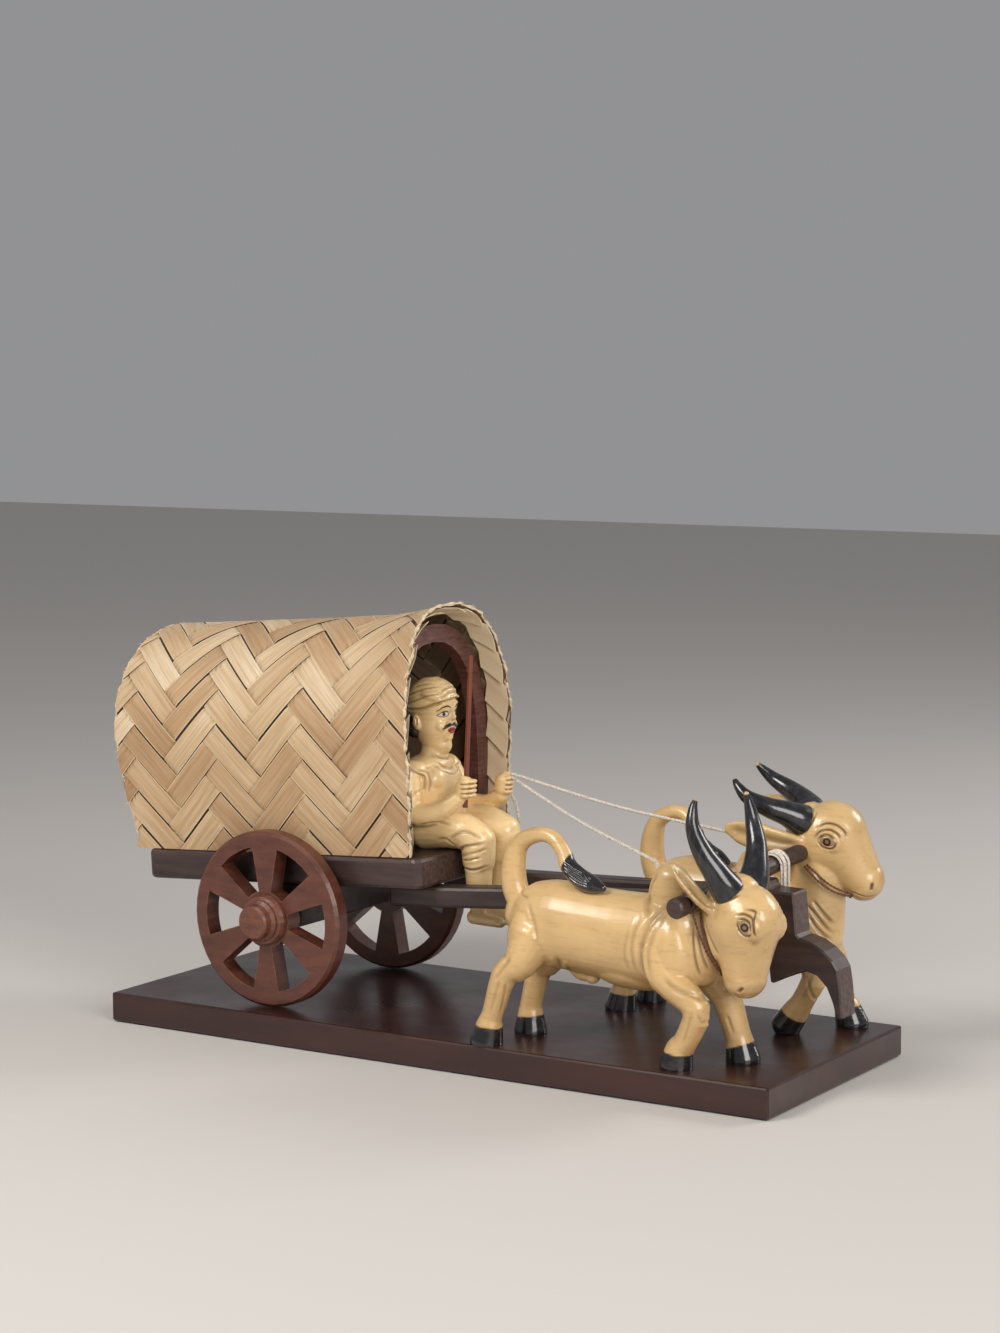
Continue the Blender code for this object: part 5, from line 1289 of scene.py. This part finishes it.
def driver():
    bm = bmesh.new()
    for rows, steps in ((DRIVER_TRUNK, 4), (DRIVER_HEAD, 4), (DRIVER_TURBAN, 3)):
        loft(bm, [(CART @ Vector(row[:3]), row[3], row[4]) for row in smooth_rows(rows, steps)],
             up=CART.to_3x3() @ Vector((1, 0, 0)), sides=40)
    for rows in DRIVER_LIMBS.values():
        limb(bm, CART, rows, up=(0.2, 1, 0.1))
    pairs = [(u, turn * y, *rest) for turn in (-1, 1) for u, y, *rest in PAIRED_LUMPS]
    for row in DRIVER_LUMPS + pairs:
        lump(bm, CART, *row)
    for (u, y, w), turn in GRIPS:
        for k in range(4):
            rise = (k - 1.5) * FINGER_SPACING
            for ahead, out, a, b in ((0.0041, -0.0004, 0.0024, 0.0033), (0.0016, 0.0036, 0.0030, 0.0017)):
                lump(bm, CART, u + ahead + 0.12 * rise, y + out * turn, w + rise, a, b, 0.00135)
        lump(bm, CART, u + 0.0012, y + 0.0022 * turn, w + 0.0056, 0.0034, 0.0017, 0.0014, 15)
    for side in ("near", "far"):
        u, y, w, _ = DRIVER_LIMBS[side + " foot"][-1]
        for k in range(5):
            toe_y = y + (k - 2) * 0.00135 * (1 if y > 0 else -1)
            lump(bm, CART, u + 0.0022 - 0.0006 * k, toe_y, w - 0.0004, 0.0024, 0.00075, 0.0012)
    carving = Carving(bm, DRIVER_VOXEL, 3)
    for *cut, points in DRIVER_SIDE_CREASES:
        carving.groove_sides(CART, points, *cut, 0.4)
    for *cut, points in DRIVER_FRONT_CREASES:
        carving.groove(CART, [(IN_FRONT, y, w) for y, w in points], (-1, 0, 0), *cut, 0.4)
    for (u, y, w), turn in GRIPS:
        for k in range(3):
            rise = (k - 1) * FINGER_SPACING
            knuckles = [(u + 0.03, y - 0.0030, w + rise), (u + 0.03, y + 0.0034, w + rise)]
            carving.groove(CART, knuckles, (-1, 0, 0), 0.0004, 0.0004, 0.6, 0.1, False)
            backs = [(u - 0.0008, turn * 0.05, w + rise), (u + 0.0050, turn * 0.05, w + rise)]
            carving.groove(CART, backs, (0, -turn, 0), 0.0004, 0.0004, 0.6, 0.1)
    carving.carve(0.0006)
    own = carving.in_frame(CART)
    reach = (own - np.array(HAIR[:3])) / np.array(HAIR[3:])
    paint = np.clip((1.0 - np.linalg.norm(reach, axis=1)) / 0.06 + 0.5, 0, 1) * (own[:, 2] < 0.1070)
    shade = np.clip(-carving.normal[:, 2], 0, 1) * 0.30
    dress(carving.build("driver_carving", PALE, paint, shade), "driver")
    driver_face(carving)
    return carving.tree


def driver_face(carving):
    """Painted lines and eyes."""
    for name, (finish, rows) in DRIVER_LINES.items():
        for turn, word in SIDES:
            verts, faces, places, radii = [], [], [], []
            for y, w, r in smooth_rows(metres(rows), 6):
                hit, normal = on_face(carving, turn * y, w)
                if hit is not None:
                    places.append(hit + normal * r * 0.15)
                    radii.append(r)
            tube_mesh(verts, faces, places, radii, 10)
            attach(to_object("driver_{}_{}".format(word, name), verts, faces, finish), "cart")
    upward = CART.to_3x3() @ Vector((0, 0, 1))
    for turn, word in SIDES:
        hit, normal = on_face(carving, turn * 0.0055, 0.1054)
        across = normal.cross(upward).normalized()
        for part, size, out, finish in (("white", (0.0028, 0.0013, 0.0004), -0.0001, EYE_BRIGHT),
                                        ("iris", (0.0010, 0.0010, 0.0004), 0.00018, INK)):
            look = axes(across, across.cross(normal) * -1, normal, hit + normal * out)
            eye_part("driver_{}_eye_{}".format(word, part), look, size, 3, finish)


# Cords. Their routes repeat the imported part's

CORD_SINK = 0.008
REIN_RADIUS = 0.00075
REIN_FULLNESS = 1.2
REIN_SAG = 0.0025
REIN_CLEARANCE = 0.0003
YOKE_RADIUS = 0.0046
YOKE_NEAR_REACH = 0.0665
YOKE_FAR_REACH = 0.0700
# Place of the reins in the far fist, in the cart's frame
REIN_FIRST = Vector((0.1105, 0.0178, 0.0690))
# Behind the yoke, across from the bullock's middle line and over the yoke
REIN_REACH = metres({
    "near": [(-285, 0, 150)],
    "far": [(-400, -170, 80), (-215, -100, 20)],
})
# u, y, w of the loose ends under the fist
REIN_ENDS = metres({
    "near": [(1065, 205, 600), (1085, 212, 570), (1092, 228, 520), (1096, 242, 440)],
    "far": [(1045, 222, 605), (1062, 238, 580), (1075, 258, 520), (1080, 268, 420)],
})
# Across from the bullock's middle line, ahead of the yoke, below the yoke's centre
NECK_CORDS = metres({
    "near": [mirrored([(-160, 40, 52), (-150, 80, 180), (-115, 120, 300), (-40, 150, 370)]),
             mirrored([(-118, 52, 50), (-126, 105, 180), (-102, 138, 300), (-38, 160, 362)])],
    "far": [[(-150, 40, 62), (-155, 100, 115), (-135, 170, 175), (-60, 225, 225),
             (40, 225, 225), (110, 170, 185), (135, 100, 125), (130, 30, 66)],
            [(-135, 46, 56), (-150, 115, 100), (-130, 185, 160), (-58, 238, 208),
             (40, 238, 208), (108, 185, 170), (130, 115, 110), (122, 36, 58)]],
})
NECK_CLEARANCE = 0.00075
NECK_TWIST = 0.00030
NECK_STRAND = 0.00036
LASHING_PLACES = (0.0089, 0.0101, 0.0113, 0.0125, 0.0137)
LASHING_STRAND = 0.00062
LASHING_FALL = 0.0242


def push_off(trees, place, clearance):
    for _ in range(3):
        for tree in trees:
            nearest, normal, _, distance = tree.find_nearest(place)
            inside = (place - nearest).dot(normal) < 0
            if distance < clearance or (inside and distance < CORD_SINK):
                place = nearest + normal * clearance
    return place


def lay_on(trees, points, clearance, rounds=6):
    """Draw a cord tight over the surfaces between its two ends, easing its bends."""
    laid = [Vector(point) for point in points]
    for _ in range(rounds):
        eased = list(laid)
        for k in range(1, len(laid) - 1):
            eased[k] = push_off(trees, (laid[k - 1] + 2 * laid[k] + laid[k + 1]) / 4, clearance)
        laid = eased
    return laid


def node_tree(name):
    bm = bmesh.new()
    bm.from_mesh(nodes[name].data)
    bm.transform(nodes[name].matrix_world)
    tree = BVHTree.FromBMesh(bm)
    bm.free()
    return tree


def yoke_frame():
    ahead = YOKE_LINE.cross(Vector((0, 0, 1))).normalized()
    above = ahead.cross(YOKE_LINE).normalized()
    return axes(ahead, YOKE_LINE, above, YOKE_MIDDLE)


def reins(trees):
    for build in (NEAR_BUILD, FAR_BUILD):
        side, middle = build["side"], build["y"]
        start = CART @ REIN_FIRST
        reach = [yoke_at(middle + across) + Vector((behind, 0, over))
                 for behind, across, over in REIN_REACH[side]]
        between = (start + reach[0]) / 2 - Vector((0, 0, REIN_SAG))
        route = smooth_path([start, between] + reach, 12)
        if side == "far":
            over = Vector((0, 0, 2.4 * REIN_RADIUS))
            route = [point + over * (1 - k / len(route)) for k, point in enumerate(route)]
        route = lay_on([trees["driver"], trees[side]], route, REIN_RADIUS + REIN_CLEARANCE)
        touching = trees[side].find_nearest(route[-1])[0]
        route = even_path(route + [route[-1].lerp(touching, 0.5), touching], 0.004)
        line = rope(side + "_rein_twine", route, REIN_RADIUS * REIN_FULLNESS, COTTON)
        loose = smooth_path([CART @ Vector(place) for place in REIN_ENDS[side]], 6)
        end = rope(side + "_rein_loose_end", loose, REIN_RADIUS * REIN_FULLNESS, COTTON)
        dress(line, side + "_rein")
        dress(end, side + "_rein_end")


def coil(verts, faces, frame, radius, cord_radius, turns, start, pitch):
    """Cord wound round a frame's y axis."""
    points = []
    for k in range(int(turns * 20) + 1):
        turn = 2 * math.pi * k / 20
        wander = 0.00008 * math.sin(k * 1.7)
        points.append(frame @ Vector(((radius + wander) * math.cos(turn), start + pitch * k / 20,
                                      (radius + wander) * math.sin(turn))))
    tube_mesh(verts, faces, points, [cord_radius] * len(points), 8)


def neck_cords(trees, yoke_tree):
    for build in (NEAR_BUILD, FAR_BUILD):
        side, middle = build["side"], build["y"]
        verts, faces = [], []
        for rows in NECK_CORDS[side]:
            route = [yoke_at(middle + across) + Vector((ahead, 0, -below)) for across, ahead, below in rows]
            laid = lay_on([trees[side], yoke_tree], smooth_path(route, 5), NECK_CLEARANCE, 10)
            laid = even_path(smooth_path(laid, 2), 0.0006)
            frames = path_frames(laid)
            for phase in (0, math.pi):
                strand = []
                for k, (p, (_, across, up)) in enumerate(zip(laid, frames)):
                    turn = phase + k * 0.9
                    strand.append(p + (across * math.cos(turn) + up * math.sin(turn)) * NECK_TWIST)
                tube_mesh(verts, faces, strand, [NECK_STRAND] * len(strand), 6)
        if side == "near":
            for shift, size in ((-9, 0.00125), (-6, 0.0015), (-3, 0.0013)):
                at = len(laid) // 2 + shift
                tangent, across, up = frames[at]
                coil(verts, faces, axes(across, tangent, up, laid[at]), size, 0.00038, 1.6, -0.0005, 0.0008)
        dress(to_object(side + "_neck_twine", verts, faces, TWINE), side + "_neck_cord")


def yoke_bindings():
    frame = yoke_frame()
    for side, along, reach in (("near", -1, YOKE_NEAR_REACH), ("far", 1, YOKE_FAR_REACH)):
        verts, faces = [], []
        start = along * (reach / YOKE_LINE.y - 0.0010)
        coil(verts, faces, frame, YOKE_RADIUS + 0.0004, 0.00048, 5, start, -along * 0.00105)
        start -= along * 0.0006
        coil(verts, faces, frame, YOKE_RADIUS + 0.0009, 0.00044, 3, start, -along * 0.00135)
        dress(to_object(side + "_yoke_winding", verts, faces, TWINE), side + "_yoke_binding")


def lashing():
    """White cord laid in two layers over the yoke on both sides of the nose."""
    frame = yoke_frame()
    fall = Vector((0, 0, LASHING_FALL))
    verts, faces = [], []
    for k, reach in enumerate(LASHING_PLACES):
        for layer in (0, 1):
            ring = YOKE_RADIUS + 0.0003 + LASHING_STRAND * (1 + 1.7 * layer)
            off = reach + 0.0005 * layer
            route = []
            for sign in (-1, 1):
                over = []
                for step in range(12):
                    angle = math.pi * (1 - step / 11)
                    x, z = ring * math.cos(angle), ring * math.sin(angle)
                    lean = 0.0008 * math.sin(k * 2.1 + layer) * math.cos(angle)
                    over.append(frame @ Vector((x, sign * off + lean, z)))
                run = [over[0] - fall, over[0] - fall / 2] + over + [over[-1] - fall / 2, over[-1] - fall]
                route += run if sign < 0 else run[::-1]
            route = smooth_path(route + [route[0]], 3)
            tube_mesh(verts, faces, route, [LASHING_STRAND] * len(route), 7)
    dress(to_object("yoke_lashing_strands", verts, faces, COTTON), "yoke_lashing")


skins = {"near": bullock(NEAR_BUILD), "far": bullock(FAR_BUILD), "driver": driver()}
reins(skins)
neck_cords(skins, node_tree("yoke"))
yoke_bindings()
lashing()


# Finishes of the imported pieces

for finish, names in ((BOARD, ["base_board"]), (DARK, ["axle_bolster", "near_shaft", "far_shaft", "yoke"]),
                      (ENDED, ["bed", "nose"]), (RED, ["near_wheel", "far_wheel"]),
                      (TURNED, ["near_wheel_hub", "far_wheel_hub"]), (ARCH, ["front_arch", "rear_arch"]),
                      (STICK, ["goad_stick"])):
    for name in names:
        nodes[name].data.materials[0] = finish
for name in nodes:
    if "horn" in name:
        nodes[name].data.materials[0] = BLACK
    elif "bullock" in name:
        nodes[name].data.materials[0] = HONEY
    elif name == "driver":
        nodes[name].data.materials[0] = PALE
    elif "rein" in name or "lashing" in name:
        nodes[name].data.materials[0] = COTTON
    elif "cord" in name or "binding" in name:
        nodes[name].data.materials[0] = TWINE


# Stage

floor_mesh = to_object("floor", [(-4, -4, -0.0006), (4, -4, -0.0006), (4, 4, -0.0006), (-4, 4, -0.0006)],
                       [(0, 1, 2, 3)], plain("Pale floor", (0.60, 0.57, 0.54), 0.7), smooth=False)


def area_light(name, place, target, size, energy, colour):
    lamp = bpy.data.lights.new(name, "AREA")
    lamp.size = size
    lamp.energy = energy
    lamp.color = colour
    made = bpy.data.objects.new(name, lamp)
    made.location = place
    made.rotation_euler = (Vector(target) - Vector(place)).to_track_quat("-Z", "Y").to_euler()
    bpy.context.collection.objects.link(made)


area_light("key", (-0.35, -1.05, 1.05), (0, 0, 0.08), 0.55, 14, (1.0, 0.97, 0.93))
area_light("fill", (1.5, -0.9, 0.75), (0, 0, 0.08), 0.9, 19, (1.0, 0.96, 0.92))
area_light("rim", (0.9, 1.1, 0.9), (0, 0, 0.10), 0.6, 9, (1.0, 0.98, 0.96))
world = bpy.data.worlds.new("World")
bpy.context.scene.world = world
world.use_nodes = True
sky = world.node_tree.nodes["Background"].inputs
sky["Color"].default_value = (0.90, 0.90, 0.92, 1)
sky["Strength"].default_value = 0.32


# Camera, as the photograph was taken
CAMERA_PLACE = (0.829785, -1.308507, 0.371813)
CAMERA_TURN = math.radians(32.276)
CAMERA_DROP = math.radians(6.289)
CAMERA_ROLL = math.radians(-0.236)
FOCAL_PIXELS = 2932.54
PHOTO_HEIGHT_PIXELS = 1333

level_reach = math.cos(CAMERA_DROP)
ahead = Vector((-math.sin(CAMERA_TURN) * level_reach, math.cos(CAMERA_TURN) * level_reach,
                -math.sin(CAMERA_DROP)))
level = Vector((math.cos(CAMERA_TURN), math.sin(CAMERA_TURN), 0))
above = level.cross(ahead)
right = level * math.cos(CAMERA_ROLL) + above * math.sin(CAMERA_ROLL)
up = above * math.cos(CAMERA_ROLL) - level * math.sin(CAMERA_ROLL)
camera = bpy.data.cameras.new("camera")
camera.sensor_fit = "VERTICAL"
camera.sensor_height = 36
camera.lens = 36 * FOCAL_PIXELS / PHOTO_HEIGHT_PIXELS
camera.clip_start = 0.01
camera_object = bpy.data.objects.new("camera", camera)
camera_object.matrix_world = axes(right, up, -ahead, CAMERA_PLACE)
bpy.context.collection.objects.link(camera_object)
scene = bpy.context.scene
scene.camera = camera_object
scene.view_settings.view_transform = "Standard"
